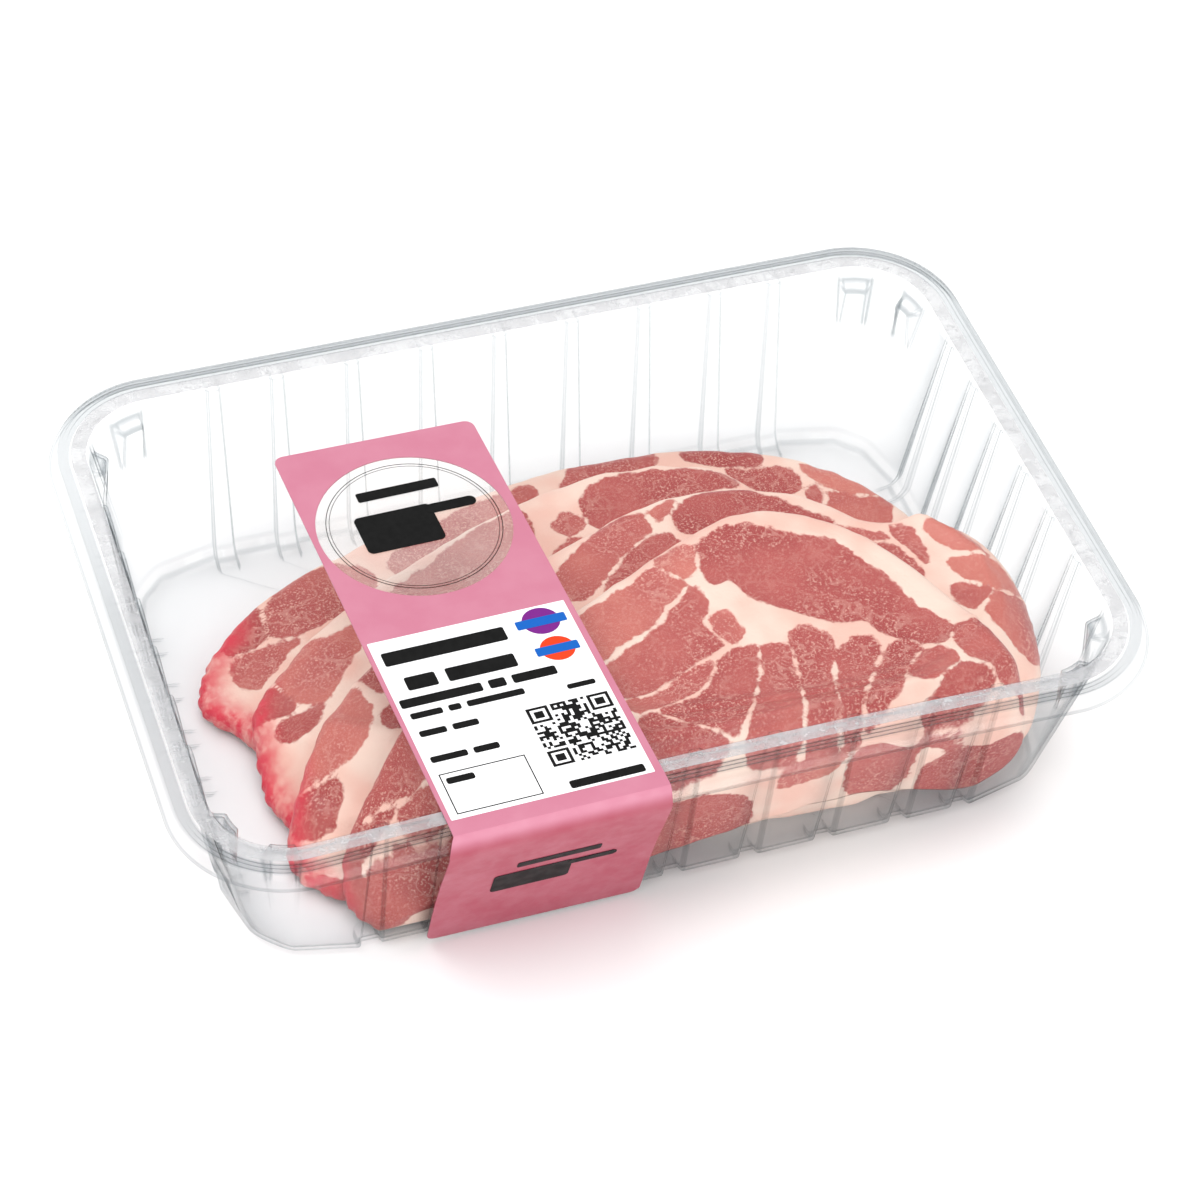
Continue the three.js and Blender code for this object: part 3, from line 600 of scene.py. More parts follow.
def closed_curve(corners, count):
    """Evenly spaced points on the centripetal curve through the corners."""
    corners = np.array(corners, float)
    dense = []
    for i in range(len(corners)):
        p0, p1, p2, p3 = (corners[(i + k - 1) % len(corners)] for k in range(4))
        t0 = 0.0
        t1 = t0 + math.dist(p0, p1) ** 0.5
        t2 = t1 + math.dist(p1, p2) ** 0.5
        t3 = t2 + math.dist(p2, p3) ** 0.5
        t = np.linspace(t1, t2, 40, endpoint=False)[:, None]
        a1 = mix(p0, p1, (t - t0) / (t1 - t0))
        a2 = mix(p1, p2, (t - t1) / (t2 - t1))
        a3 = mix(p2, p3, (t - t2) / (t3 - t2))
        b1 = mix(a1, a2, (t - t0) / (t2 - t0))
        b2 = mix(a2, a3, (t - t1) / (t3 - t1))
        dense.append(mix(b1, b2, (t - t1) / (t2 - t1)))
    dense = np.concatenate(dense)
    steps = np.hypot(*(np.roll(dense, -1, 0) - dense).T)
    along = np.concatenate([[0], np.cumsum(steps)])
    wanted = np.linspace(0, along[-1], count, endpoint=False)
    loop = np.concatenate([dense, dense[:1]])
    return np.stack([np.interp(wanted, along, loop[:, k]) for k in (0, 1)], 1)


def height_at(heights, x, y):
    u = np.clip((x + GRID_X) / GRID_STEP, 0, COLUMNS - 1.001)
    v = np.clip((y + GRID_Y) / GRID_STEP, 0, ROWS - 1.001)
    c, r = u.astype(int), v.astype(int)
    low = mix(heights[r, c], heights[r, c + 1], u - c)
    high = mix(heights[r + 1, c], heights[r + 1, c + 1], u - c)
    return mix(low, high, v - r)


def drape(heights, slope):
    """A soft slice comes down from each height no steeper than the slope."""
    reach = int(math.ceil(heights.max() / slope / GRID_STEP))
    wide = np.pad(heights, reach)
    out = np.zeros_like(heights)
    for dr in range(-reach, reach + 1):
        for dc in range(-reach, reach + 1):
            fall = slope * GRID_STEP * math.hypot(dr, dc)
            if fall < heights.max():
                shifted = wide[reach + dr:reach + dr + ROWS, reach + dc:reach + dc + COLUMNS]
                np.maximum(out, shifted - fall, out=out)
    return out


def blur(heights, passes):
    for _ in range(passes):
        wide = np.pad(heights, 1, mode="edge")
        rows = (wide[:-2] + wide[1:-1] + wide[2:]) / 3
        heights = (rows[:, :-2] + rows[:, 1:-1] + rows[:, 2:]) / 3
    return heights


def inside_wall(x, y, z):
    """Keeps points clear of the tray's inner wall."""
    depth = mix(GROOVE_FOOT[1], GROOVE_TOP[1], np.clip(z / HEIGHT, 0, 1))
    room = wall_radius(np.maximum(z - SHEET, 0)) - SHEET - depth - WALL_CLEARANCE
    dx = np.maximum(abs(x) - CORNER_X, 0)
    dy = np.maximum(abs(y) - CORNER_Y, 0)
    bow = np.where(y < 0, front_bow(x, z), 0)
    out = np.hypot(dx, dy)
    run = np.minimum(np.clip((abs(x) - CORNER_X) / CORNER_RUN + 1, 0, 1),
                     np.clip((abs(y) - CORNER_Y) / CORNER_RUN + 1, 0, 1))
    limit = room - bow - corner_taper(np.arctan2(dy, dx), z) * run
    keep = np.where(out > limit, limit / np.maximum(out, 1e-6), 1)
    return (np.sign(x) * (np.minimum(abs(x), CORNER_X) + dx * keep),
            np.sign(y) * (np.minimum(abs(y), CORNER_Y) + dy * keep))


def ripple(x, y, size, seed):
    """Smooth noise over the plan, about -1 to 1."""
    flat = [noise.noise(Vector((a / size, b / size, seed))) for a, b in zip(x.ravel(), y.ravel())]
    return np.array(flat).reshape(x.shape)


def inside_outline(x, y, loop):
    """How far each point lies inside a closed line, in millimetres, and below 0 outside it."""
    nearest = np.full(x.shape, np.inf)
    inner = np.zeros(x.shape, bool)
    for (ax, ay), (bx, by) in zip(loop, np.roll(loop, -1, 0)):
        dx, dy = bx - ax, by - ay
        along = np.clip(((x - ax) * dx + (y - ay) * dy) / max(dx * dx + dy * dy, 1e-9), 0, 1)
        nearest = np.minimum(nearest, np.hypot(x - ax - along * dx, y - ay - along * dy))
        if ay != by:
            crosses = (ay > y) != (by > y)
            inner ^= crosses & (x < ax + (y - ay) * dx / dy)
    return np.where(inner, nearest, -nearest)


def lean_field(x, y, muscles):
    """How deep each point lies in a muscle, below 0 in fat, and how dark that muscle is. Muscles
    swell towards their neighbours up to a thin seam."""
    deep = np.full(x.shape, -FIELD_REACH)
    second = deep.copy()
    tone = np.full(x.shape, 0.5)
    for darkness, outline in muscles:
        loop = closed_curve(outline, 6 * len(outline))
        low, high = loop.min(0) - FIELD_REACH, loop.max(0) + FIELD_REACH
        near = (x > low[0]) & (x < high[0]) & (y > low[1]) & (y < high[1])
        depth = np.full(x.shape, -FIELD_REACH)
        depth[near] = inside_outline(x[near], y[near], loop)
        tone = np.where(depth > deep, darkness, tone)
        second = np.maximum(second, np.minimum(deep, depth))
        deep = np.maximum(deep, depth)
    return np.minimum(deep + MUSCLE_SWELL, (deep - second) / 2 - SEAM_HALF), tone


def raw_pork():
    """Moist raw neck: pink to dark red lean with light flecks and veins, in cream fat."""
    pork = Finish("raw pork")
    unevenness = pork.speckle(LINE_SCALE, 3, 0.65)
    depth = pork.reckon("ADD", pork.field("lean"), pork.ranged(unevenness, 0.2, 0.8, -0.9, 0.8))
    lean = pork.ranged(depth, -0.4, 0.4)

    patches = pork.speckle(PATCH_SCALE, 2)
    fat = pork.blend(pork.ranged(patches, 0.35, 0.65), FAT_CREAM, FAT_PINK)
    shade = pork.reckon("ADD", pork.field("tone"), pork.ranged(patches, 0.25, 0.75, -0.25, 0.25))
    muscle = pork.add("ShaderNodeValToRGB", {"Fac": shade}, "Color")
    stops = muscle.node.color_ramp.elements
    stops.new(0.5)
    for stop, colour in zip(stops, (LEAN_SALMON, LEAN_PINK, LEAN_DARK)):
        stop.color = (*colour, 1)

    flecks = pork.ranged(pork.speckle(FLECK_SCALE, 2, 0.7), 0.52, 0.66, 0, 0.62)
    ridge = pork.reckon("SUBTRACT", pork.speckle(BUNDLE_SCALE, 2, 0.6), 0.5)
    veins = pork.ranged(pork.reckon("ABSOLUTE", ridge), 0.0, 0.028, 0.3, 0)
    marbling = pork.reckon("MULTIPLY", pork.reckon("MAXIMUM", flecks, veins),
                           pork.ranged(patches, 0.38, 0.62, 0.35, 1))
    colour = pork.blend(lean, fat, pork.blend(marbling, muscle, FAT_PINK))
    blood = pork.reckon("MULTIPLY", pork.field("raw_edge"), pork.ranged(unevenness, 0.3, 0.6, 0.5, 1))
    return pork.coat({
        "Base Color": pork.blend(blood, colour, BLOOD_RED), "Specular IOR Level": 0.35,
        "Roughness": pork.ranged(lean, 0, 1, 0.5, 0.36),
        "Normal": pork.relief(0.35, 0.0004, pork.speckle(GRAIN_SCALE, 1, 0.6)),
    })


meat_material = raw_pork()
rows_y, columns_x = np.meshgrid(np.linspace(-GRID_Y, GRID_Y, ROWS),
                                np.linspace(-GRID_X, GRID_X, COLUMNS), indexing="ij")
pile = np.full((ROWS, COLUMNS), SHEET)
widest = RIM_INSET.index(0)
for number, chop in enumerate(CHOPS):
    rim_line = closed_curve(chop["outline"], CHOP_SECTORS)
    centre = rim_line.mean(0)
    tail = rim_line[:, 0].min()
    tail_share = ease((tail + TAIL_LENGTH - rim_line[:, 0]) / TAIL_LENGTH)
    ragged = RAGGED_RIM * ripple(*rim_line.T, RIM_WAVE, number)
    ragged += tail_share * RAGGED_TAIL * ripple(*rim_line.T, TAIL_WAVE, number + TAIL_SEED)
    spokes = rim_line - centre
    radii = np.hypot(*spokes.T)
    spokes *= (1 + ragged / radii)[:, None]
    radii = radii + ragged
    bed = blur(drape(pile, chop["droop"]), BLUR_PASSES)
    rests = np.maximum(bed, pile)
    slope_y, slope_x = np.gradient(bed, GRID_STEP)
    stretch = blur(np.minimum(np.sqrt(1 + slope_x ** 2 + slope_y ** 2), STRETCH_LIMIT), 2)

    def thick(x, y):
        share = mix(TAIL_SHARE, 1, np.clip((x - tail) / TAIL_LENGTH, 0, 1))
        return CHOP_THICKNESS * share * height_at(stretch, x, y)

    def ring_at(inset, level, sink):
        reach = np.maximum(1 - inset / radii, 0)[:, None]
        x, y = (centre + spokes * reach).T
        low = height_at(rests, x, y) + CHOP_GAP - sink
        high = height_at(rests, x, y) + CHOP_GAP + thick(x, y)
        z = mix(low, high, level)
        x, y = inside_wall(x, y, z)
        return np.stack([x, y, z], 1)

    shares = np.linspace(MIDDLE_SHARE, 1, CHOP_RINGS, endpoint=False)
    rings = [ring_at(radii - (radii - RIM_INSET[0]) * share, 1, 0) for share in shares]
    rings += [ring_at(inset, level, UNDER_SINK * (1 - level))
              for inset, level in zip(RIM_INSET, RIM_LEVEL)]
    rings += [ring_at(radii - (radii - RIM_INSET[-1]) * share, 0, UNDER_SINK)
              for share in shares[::-UNDER_STEP]]
    rings = np.array(rings)
    x, y = rings[:, :, 0], rings[:, :, 1]
    lean, tone = lean_field(x, y, chop["muscles"])
    z = rings[:, :, 2]
    side_lean, side_tone = lean_field(x + ripple(x, z, SIDE_WAVE, SIDE_SEED), z, SIDE_MUSCLES)
    past_top = (np.arange(len(rings)) - len(shares)) / SIDE_RINGS
    side = ease((SIDE_FROM - y) / SIDE_FADE) * ease(past_top)[:, None]
    lean, tone = mix(lean, side_lean, side), mix(tone, side_tone, side)
    upper = np.zeros(len(rings))
    upper[:len(shares)] = 1
    upper[len(shares):len(shares) + len(RIM_INSET)] = RIM_LEVEL
    relief = FAT_RISE * (1 - ease(lean + 0.5))
    relief += RELIEF * ripple(x, y, RELIEF_WAVE, number + RELIEF_SEED)
    rings[:, :, 2] += upper[:, None] * relief
    inset = (1 - np.hypot(x - centre[0], y - centre[1]) / radii) * radii
    raw_edge = ease(1 - inset / chop["raw_width"]) * ease((chop["raw_to"] - x) / RAW_FADE)
    piece = add_shell("pork_" + chop["name"], rings, meat_material)
    for name, values in (("lean", lean), ("tone", tone), ("raw_edge", raw_edge)):
        add_field(piece, name, [*values.ravel(), values[0].mean(), values[-1].mean()])
    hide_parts(chop["name"])
    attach(piece, "root")

    turn = np.arctan2(spokes[:, 1], spokes[:, 0])
    order = np.argsort(turn)
    dx, dy = columns_x - centre[0], rows_y - centre[1]
    edge = np.interp(np.arctan2(dy, dx), turn[order], radii[order], period=2 * math.pi)
    inset = edge - np.hypot(dx, dy)
    level = np.interp(inset, RIM_INSET[widest::-1], RIM_LEVEL[widest::-1])
    top = rests + CHOP_GAP + level * thick(columns_x.ravel(), rows_y.ravel()).reshape(columns_x.shape)
    pile = np.where(inset > 0, np.maximum(pile, top), pile)

# Label: one strip of coated paper, laid on the film and folded down over the lip and the front
# wall, where its end hangs free. Its corners are cut round, and it has a large round hole for the
# window.
LABEL_THICKNESS = 0.35
LABEL_BACK = 48.0
LABEL_FOLD_X, LABEL_BACK_X, LABEL_FRONT_X = (-65.6, -9.9), (-73.1, -18.2), (-67.0, -9.8)
LABEL_FOOT_Y, LABEL_FOOT_Z = -73.6, 1.4
LABEL_CORNER = 2.6
FOLD_CLEARANCE, FOLD_DEPTH = 0.3, 1.0
LABEL_HANG = ((0.16, 0.17), (0.4, 0.37), (0.62, 0.58), (0.8, 0.78))
LABEL_LOW = HEIGHT + FILM_THICKNESS + 2 * GAP
LABEL_TOP = LABEL_LOW + LABEL_THICKNESS
LABEL_EDGE_COLUMNS = np.array([0, 0.03, 0.12, 0.3, 0.6, 1.0, 1.6, 2.6])
ROW_SLOPE = 0.017
WINDOW_U, WINDOW_V, WINDOW_RADIUS, WINDOW_SIDES = 27.0, 14.0, 25.4, 144
PINK_TOP, PINK_PAINTED_SHADE = (0.47, 0.145, 0.22), (0.32, 0.038, 0.07)
FOLD_SHADE = (0.0535, 0.0575)
PAPER_MOTTLE = (0.8, 0.5, 0.58)


def label_path(t):
    """The line down the underside of the label at a share of its width, back edge first."""
    fold_x, front_x = mix(*LABEL_FOLD_X, t), mix(*LABEL_FRONT_X, t)
    in_corner = max(LABEL_CORNER - min(t, 1 - t) * (LABEL_FOLD_X[1] - LABEL_FOLD_X[0]), 0)
    trim = LABEL_CORNER - math.sqrt(LABEL_CORNER ** 2 - in_corner ** 2)
    bow = float(front_bow(fold_x, HEIGHT))
    fold = -(CORNER_Y + FLANGE_RADIUS) + bow
    lip, lip_z = -(WIDTH / 2) + bow - GAP, HEIGHT - LIP_DROP

    def lean(y):
        return mix(fold_x, mix(*LABEL_BACK_X, t), (y - fold) / (LABEL_BACK - fold))

    stops = [(lean(y), y, LABEL_LOW) for y in np.linspace(LABEL_BACK - trim, fold + 3 * FOLD_DEPTH, 30)]
    stops += [
        (fold_x, fold - FOLD_CLEARANCE, LABEL_LOW - 0.2 * FOLD_DEPTH),
        (mix(fold_x, front_x, 0.4), fold - FOLD_DEPTH, LABEL_LOW - FOLD_DEPTH),
        (front_x, lip - 0.2, lip_z + 0.6),
        (front_x, lip - 0.1, lip_z - 1.4),
    ]
    end = 1 - trim / (lip_z - LABEL_FOOT_Z)
    for across, down in LABEL_HANG + ((end, end),):
        stops.append((front_x, mix(lip, LABEL_FOOT_Y, across), mix(lip_z, LABEL_FOOT_Z, down)))
    return np.array(stops)


def sheet_mesh(paths, thickness):
    """A closed sheet whose underside follows the paths, one for each line down it."""
    paths = np.array(paths)
    along = np.gradient(paths, axis=1)
    along /= np.linalg.norm(along[:, :, 1:], axis=2)[:, :, None]
    upper = paths.copy()
    upper[:, :, 1] += along[:, :, 2] * thickness
    upper[:, :, 2] -= along[:, :, 1] * thickness
    vertices = np.stack([paths, upper], 2).reshape(-1, 3)
    low, high = np.moveaxis(np.arange(len(vertices)).reshape(*paths.shape[:2], 2), 2, 0)
    faces = quads(high[:-1, :-1], high[:-1, 1:], high[1:, 1:], high[1:, :-1])
    faces += quads(low[:-1, :-1], low[1:, :-1], low[1:, 1:], low[:-1, 1:])
    faces += quads(low[:-1, 0], high[:-1, 0], high[1:, 0], low[1:, 0])
    faces += quads(high[:-1, -1], low[:-1, -1], low[1:, -1], high[1:, -1])
    faces += quads(low[0, :-1], low[0, 1:], high[0, 1:], high[0, :-1])
    faces += quads(high[-1, :-1], high[-1, 1:], low[-1, 1:], low[-1, :-1])
    return vertices, faces


def add_sheets(name, sheets, material):
    """Several closed sheets as one piece, with crisp edges."""
    vertices, faces, count = [], [], 0
    for sheet_vertices, sheet_faces in sheets:
        vertices.append(sheet_vertices)
        faces += [tuple(count + i for i in face) for face in sheet_faces]
        count += len(sheet_vertices)
    piece = add_mesh(name, np.concatenate(vertices), faces, material)
    piece.data.set_sharp_from_angle(angle=math.radians(40))
    return piece


def on_top(u, v, lift):
    """A point over the label's top run: u from its left edge, v towards its back, lift above it."""
    y = v + ROW_SLOPE * u
    fold = -(CORNER_Y + FLANGE_RADIUS)
    left = mix(LABEL_FOLD_X[0], LABEL_BACK_X[0], (y - fold) / (LABEL_BACK - fold))
    return left + u, y, LABEL_TOP + lift


def disc_mesh(radius, low, high):
    """A round plug on the middle of the window, between two heights over the paper."""
    turns = np.linspace(0, 2 * math.pi, WINDOW_SIDES, endpoint=False)
    ring = [(WINDOW_U + radius * math.cos(t), WINDOW_V + radius * math.sin(t)) for t in turns]
    vertices = [on_top(u, v, lift) for lift in (low, high) for u, v in ring]
    count = WINDOW_SIDES
    faces = [tuple(range(count))[::-1], tuple(range(count, 2 * count))]
    faces += [(i, (i + 1) % count, count + (i + 1) % count, count + i) for i in range(count)]
    return np.array(vertices), faces


def pink_paper():
    """Coated paper in a flat pink, with painted shade: a deeper pink on the part that hangs down the front,
    where it is in shade.
    """
    paper = Finish("pink label paper")
    place = paper.add("ShaderNodeTexCoord", {}, "Object")
    height = paper.add("ShaderNodeSeparateXYZ", {"Vector": place}, "Z")
    # Painted shade: below the fold the pink goes deeper on the hanging front.
    pink = paper.blend(paper.ranged(height, *FOLD_SHADE), PINK_PAINTED_SHADE, PINK_TOP)
    mottle = paper.ranged(paper.speckle(90, 3), 0.3, 0.7, 0, 0.07)
    return paper.coat({
        "Base Color": paper.blend(mottle, pink, PAPER_MOTTLE),
        "Roughness": paper.ranged(paper.speckle(300, 2), 0.3, 0.7, 0.34, 0.46),
        "Normal": paper.relief(0.12, 0.0002, paper.speckle(1500, 3)),
    })


edge_shares = LABEL_EDGE_COLUMNS / (LABEL_FOLD_X[1] - LABEL_FOLD_X[0])
label_shares = np.concatenate([edge_shares, np.linspace(edge_shares[-1], 1 - edge_shares[-1], 30)[1:-1],
                               1 - edge_shares[::-1]])
label = add_sheets("label_strip", [sheet_mesh([label_path(t) for t in label_shares], LABEL_THICKNESS)],
                   pink_paper())
punch_vertices, punch_faces = disc_mesh(WINDOW_RADIUS, -1, 1)
punch = add_mesh("window punch", punch_vertices, punch_faces, label.data.materials[0], smooth=False)
cut = label.modifiers.new("window", "BOOLEAN")
cut.operation, cut.solver, cut.object = "DIFFERENCE", "EXACT", punch
label_mesh = bpy.data.meshes.new_from_object(label.evaluated_get(bpy.context.evaluated_depsgraph_get()))
label.modifiers.remove(cut)
bpy.data.objects.remove(punch)
label.data = label_mesh
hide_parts("label")
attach(label, "root")

# Label window: a disc of frosted film set in the label's round hole, flush with the paper. The
# slices show through it, a little dimmed.
WINDOW_EASE, WINDOW_SINK = 0.03, 0.02
WINDOW_TINT, WINDOW_HAZE = (0.9, 0.82, 0.78, 1), (0.08, 0.12)
frosted = Finish("frosted window film")
frosted_film = frosted.coat({
    "Base Color": WINDOW_TINT, "Roughness": 0.3,
    "Alpha": frosted.ranged(frosted.speckle(60, 3), 0.3, 0.7, *WINDOW_HAZE),
})
window_disc = disc_mesh(WINDOW_RADIUS - WINDOW_EASE, -LABEL_THICKNESS, -WINDOW_SINK)
window = add_sheets("label_window", [window_disc], frosted_film)
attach(window, "root")

# Print: thin layers of ink on the label. Plain bars, two badges, an empty box and a block pattern
# share the white panel, and a plain cleaver is on the window and again on the front.
INK, INK_STEP, INK_LIFT = 0.05, 0.06, 0.02
PANEL = (1.2, 53.7, -83.0, -22.4)
TOP_BARS = [
    (3.2, 35.6, -31.2, -26.6), (5.9, 13.9, -40.4, -35.9), (16.6, 34.8, -40.4, -35.9),
    (2.2, 23.6, -45.7, -42.8), (25.4, 29.8, -45.7, -42.8), (31.6, 43.2, -45.7, -42.8),
    (3.3, 11.6, -49.7, -47.7), (13.2, 16.4, -49.7, -47.7), (18.0, 33.0, -49.7, -47.7),
    (3.4, 10.4, -55.8, -53.8), (12.0, 18.7, -55.8, -53.8),
    (3.1, 12.6, -64.5, -62.5), (14.2, 20.8, -64.5, -62.5),
    (43.6, 51.0, -51.5, -49.9), (32.4, 51.8, -82.2, -79.7), (4.4, 11.6, -72.0, -70.0),
    (16.0, 38.0, 25.6, 29.0),
]
EMPTY_BOX, BOX_LINE = (3.2, 25.4, -81.6, -68.4), 0.3
BADGES = [((45.6, -27.6), (4.9, 4.5), (38.9, 52.2, -29.2, -26.3), "violet ink", (0.16, 0.015, 0.2)),
          ((46.2, -37.6), (4.5, 4.1), (40.4, 51.8, -39.1, -36.3), "orange ink", (0.7, 0.045, 0.01))]
PANEL_WHITE, INK_BLACK, BADGE_BLUE = (0.86, 0.86, 0.865), (0.004, 0.004, 0.004), (0.006, 0.1, 0.42)
PANEL_CORNER, BAR_CORNER, BAND_CORNER, SHARP_CORNER = 0.3, 0.6, 0.4, 0.02
INK_WEAR, FRONT_EDGE = (0.45, 0.2), 0.06
CLEAVER_BLADE, CLEAVER_GRIP, CLEAVER_CORNER = (21.0, 13.5), (12.0, 3.4), 1.6
TOP_CLEAVER, FRONT_CLEAVER, FRONT_SCALE = (12.4, 7.0), (14.2, 22.8), (0.98, 0.72)
FRONT_BAR = (19.5, 41.5, 35.6, 38.6)
WINDOW_LINES = ((22.6, 0.2), (21.8, 0.14))
BLOCKS_MIDDLE, BLOCKS_SIZE, BLOCKS_ACROSS = (41.6, -64.6), (21.6, 19.6), 27
FRAME_BLOCKS, FRAME_MIDDLE = 7, (2, 5)


def inked(name, colour, roughness=0.38):
    """Printing ink: a little uneven in its cover and its shine."""
    ink = Finish(name)
    worn = tuple(mix(channel, *INK_WEAR) for channel in colour)
    return ink.coat({
        "Base Color": ink.blend(ink.ranged(ink.speckle(500, 3), 0.3, 0.7, 0, 0.03), colour, worn),
        "Roughness": ink.ranged(ink.speckle(260, 2), 0.3, 0.7, roughness - 0.05, roughness + 0.08),
        "Specular IOR Level": 0.08,
    })


def bar_shape(u0, u1, v0, v1, corner):
    """The left-to-right stops of a bar with round corners, each with its low and high edge."""
    corner = min(corner, (v1 - v0) / 2 - 0.01, (u1 - u0) / 2)
    turns = np.linspace(0, math.pi / 2, 7)
    cuts = [(corner * (1 - math.sin(a)), corner * (1 - math.cos(a))) for a in turns[::-1]]
    left = [(u0 + along, v0 + trim, v1 - trim) for trim, along in cuts[::-1]]
    middle = [(u, v0, v1) for u in np.linspace(u0 + corner, u1 - corner, 8)[1:-1]]
    return left + middle + [(u1 - along, v0 + trim, v1 - trim) for trim, along in cuts]


def oval_shape(middle, reach):
    turns = np.linspace(0.06, math.pi - 0.06, 40)
    return [(middle[0] - reach[0] * math.cos(a), middle[1] - reach[1] * math.sin(a),
             middle[1] + reach[1] * math.sin(a)) for a in turns]


def cleaver_shape(u, v, scale=(1, 1)):
    """A plain cleaver seen from the side, from the left end of its blade to the end of its grip."""
    blade, grip = [part * np.array(scale) for part in (CLEAVER_BLADE, CLEAVER_GRIP)]
    corner = CLEAVER_CORNER * scale[1]
    shape = bar_shape(u, u + blade[0], v, v + blade[1], corner)
    neck = v + blade[1] - grip[1] - 0.5 * scale[1]
    handle = bar_shape(u + blade[0] - corner, u + blade[0] + grip[0], neck, neck + grip[1], 2)
    return shape, handle


def laid(shape, place, layer, rows=2):
    """One field of ink: the shape set on the paper by the place function, at its layer."""
    lift = INK_LIFT + INK_STEP * layer
    paths = [[place(u, v, lift) for v in np.linspace(high, low, rows)] for u, low, high in shape]
    return sheet_mesh(paths, INK)


def on_front(u, z, lift):
    """A point on the hanging part of the label: u from its left edge, at a height."""
    path = label_path(np.clip(u / (LABEL_FRONT_X[1] - LABEL_FRONT_X[0]), FRONT_EDGE, 1 - FRONT_EDGE))
    path = path[path[:, 2] < HEIGHT - LIP_DROP][::-1]
    y = np.interp(z, path[:, 2], path[:, 1])
    slope = np.interp(z + 0.5, path[:, 2], path[:, 1]) - np.interp(z - 0.5, path[:, 2], path[:, 1])
    return (LABEL_FRONT_X[0] + u, y - (LABEL_THICKNESS + lift) * math.hypot(1, slope), z)


def frame_bars(u0, u1, v0, v1, line):
    """The four bars of an empty frame, with line as their widths across and along."""
    along, up = line
    return [(u0, u1, v0, v0 + up), (u0, u1, v1 - up, v1),
            (u0, u0 + along, v0 + up, v1 - up), (u1 - along, u1, v0 + up, v1 - up)]


white_ink = inked("white panel ink", PANEL_WHITE)
black_ink = inked("black ink", INK_BLACK)
panel = add_sheets("print_panel", [laid(bar_shape(*PANEL, PANEL_CORNER), on_top, 0)], white_ink)
fields = [laid(bar_shape(*bar, BAR_CORNER), on_top, 1) for bar in TOP_BARS]
fields += [laid(bar_shape(*bar, SHARP_CORNER), on_top, 1)
           for bar in frame_bars(*EMPTY_BOX, (BOX_LINE, BOX_LINE))]
blade, handle = cleaver_shape(*TOP_CLEAVER)
fields += [laid(blade, on_top, 1), laid(handle, on_top, 2)]
blade, handle = cleaver_shape(*FRONT_CLEAVER, FRONT_SCALE)
fields += [laid(blade, on_front, 1, 5), laid(handle, on_front, 2, 5),
           laid(bar_shape(*FRONT_BAR, BAR_CORNER), on_front, 1, 4)]
block = np.array(BLOCKS_SIZE) / BLOCKS_ACROSS
for right, upper in ((0, 1), (1, 1), (0, 0)):
    away = (BLOCKS_ACROSS - FRAME_BLOCKS) * np.array((right, upper))
    low_u, low_v = np.array(BLOCKS_MIDDLE) - np.array(BLOCKS_SIZE) / 2 + away * block
    for u0, u1, v0, v1 in frame_bars(0, FRAME_BLOCKS, 0, FRAME_BLOCKS, (1, 1)) + [FRAME_MIDDLE * 2]:
        bar = bar_shape(low_u + u0 * block[0], low_u + u1 * block[0],
                        low_v + v0 * block[1], low_v + v1 * block[1], SHARP_CORNER)
        fields.append(laid(bar, on_top, 1))
black_print = add_sheets("print_black", fields, black_ink)
for piece in (panel, black_print):
    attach(piece, "root")
for middle, reach, band, ink_name, colour in BADGES:
    badge = add_sheets("badge_" + ink_name.split()[0], [laid(oval_shape(middle, reach), on_top, 1)],
                       inked(ink_name, colour))
    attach(badge, "root")
band_fields = [laid(bar_shape(*band, BAND_CORNER), on_top, 2) for _, _, band, _, _ in BADGES]
bands = add_sheets("badge_bands", band_fields, inked("blue ink", BADGE_BLUE))
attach(bands, "root")
for number, (radius, width) in enumerate(WINDOW_LINES):
    turns = np.linspace(0, 2 * math.pi, WINDOW_SIDES, endpoint=False)
    section = ((0, radius), (0, radius + width), (INK, radius + width), (INK, radius))
    rings = [np.array([on_top(WINDOW_U + reach * math.cos(t), WINDOW_V + reach * math.sin(t), lift)
                       for t in turns]) for lift, reach in section]
    line = add_hoop(f"window_line_{number + 1}", rings, black_ink)
    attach(line, "root")

# Block pattern: a made-up field of small black squares on the panel. A seeded draw fills about
# half of the places, clear of the frames in three of its corners.
BLOCKS_FILLED, FRAME_MARGIN, DRAW_SEED = 0.5, 8, 5
squares = Pattern("block pattern", {
    "Side": BLOCKS_SIZE[0] * MM, "Height": BLOCKS_SIZE[1] * MM, "Across": BLOCKS_ACROSS,
    "Ink": INK * MM, "Filled": BLOCKS_FILLED, "Corner": FRAME_MARGIN, "Seed": DRAW_SEED,
    "Finish": black_ink,
})
given = squares.given
block_u = squares.reckon("DIVIDE", given["Side"], given["Across"])
block_v = squares.reckon("DIVIDE", given["Height"], given["Across"])
places = squares.add("GeometryNodeMeshGrid", {
    "Size X": squares.reckon("SUBTRACT", given["Side"], block_u),
    "Size Y": squares.reckon("SUBTRACT", given["Height"], block_v),
    "Vertices X": given["Across"], "Vertices Y": given["Across"],
})
where = squares.add("GeometryNodeInputPosition", {})
place_u = squares.add("ShaderNodeSeparateXYZ", {"Vector": where})
place_v = place_u.node.outputs["Y"]
drawn = squares.add("FunctionNodeRandomValue", {"Probability": given["Filled"], "Seed": given["Seed"]}, 3,
                    data_type="BOOLEAN")


def past_frame(value, block, side):
    """1 where the value lies beyond the inner edge of the corner frames."""
    edge = squares.reckon("SUBTRACT", squares.reckon("MULTIPLY", side, 0.5),
                          squares.reckon("MULTIPLY", block, given["Corner"]))
    return squares.reckon("GREATER_THAN", squares.reckon("ABSOLUTE", value), edge)


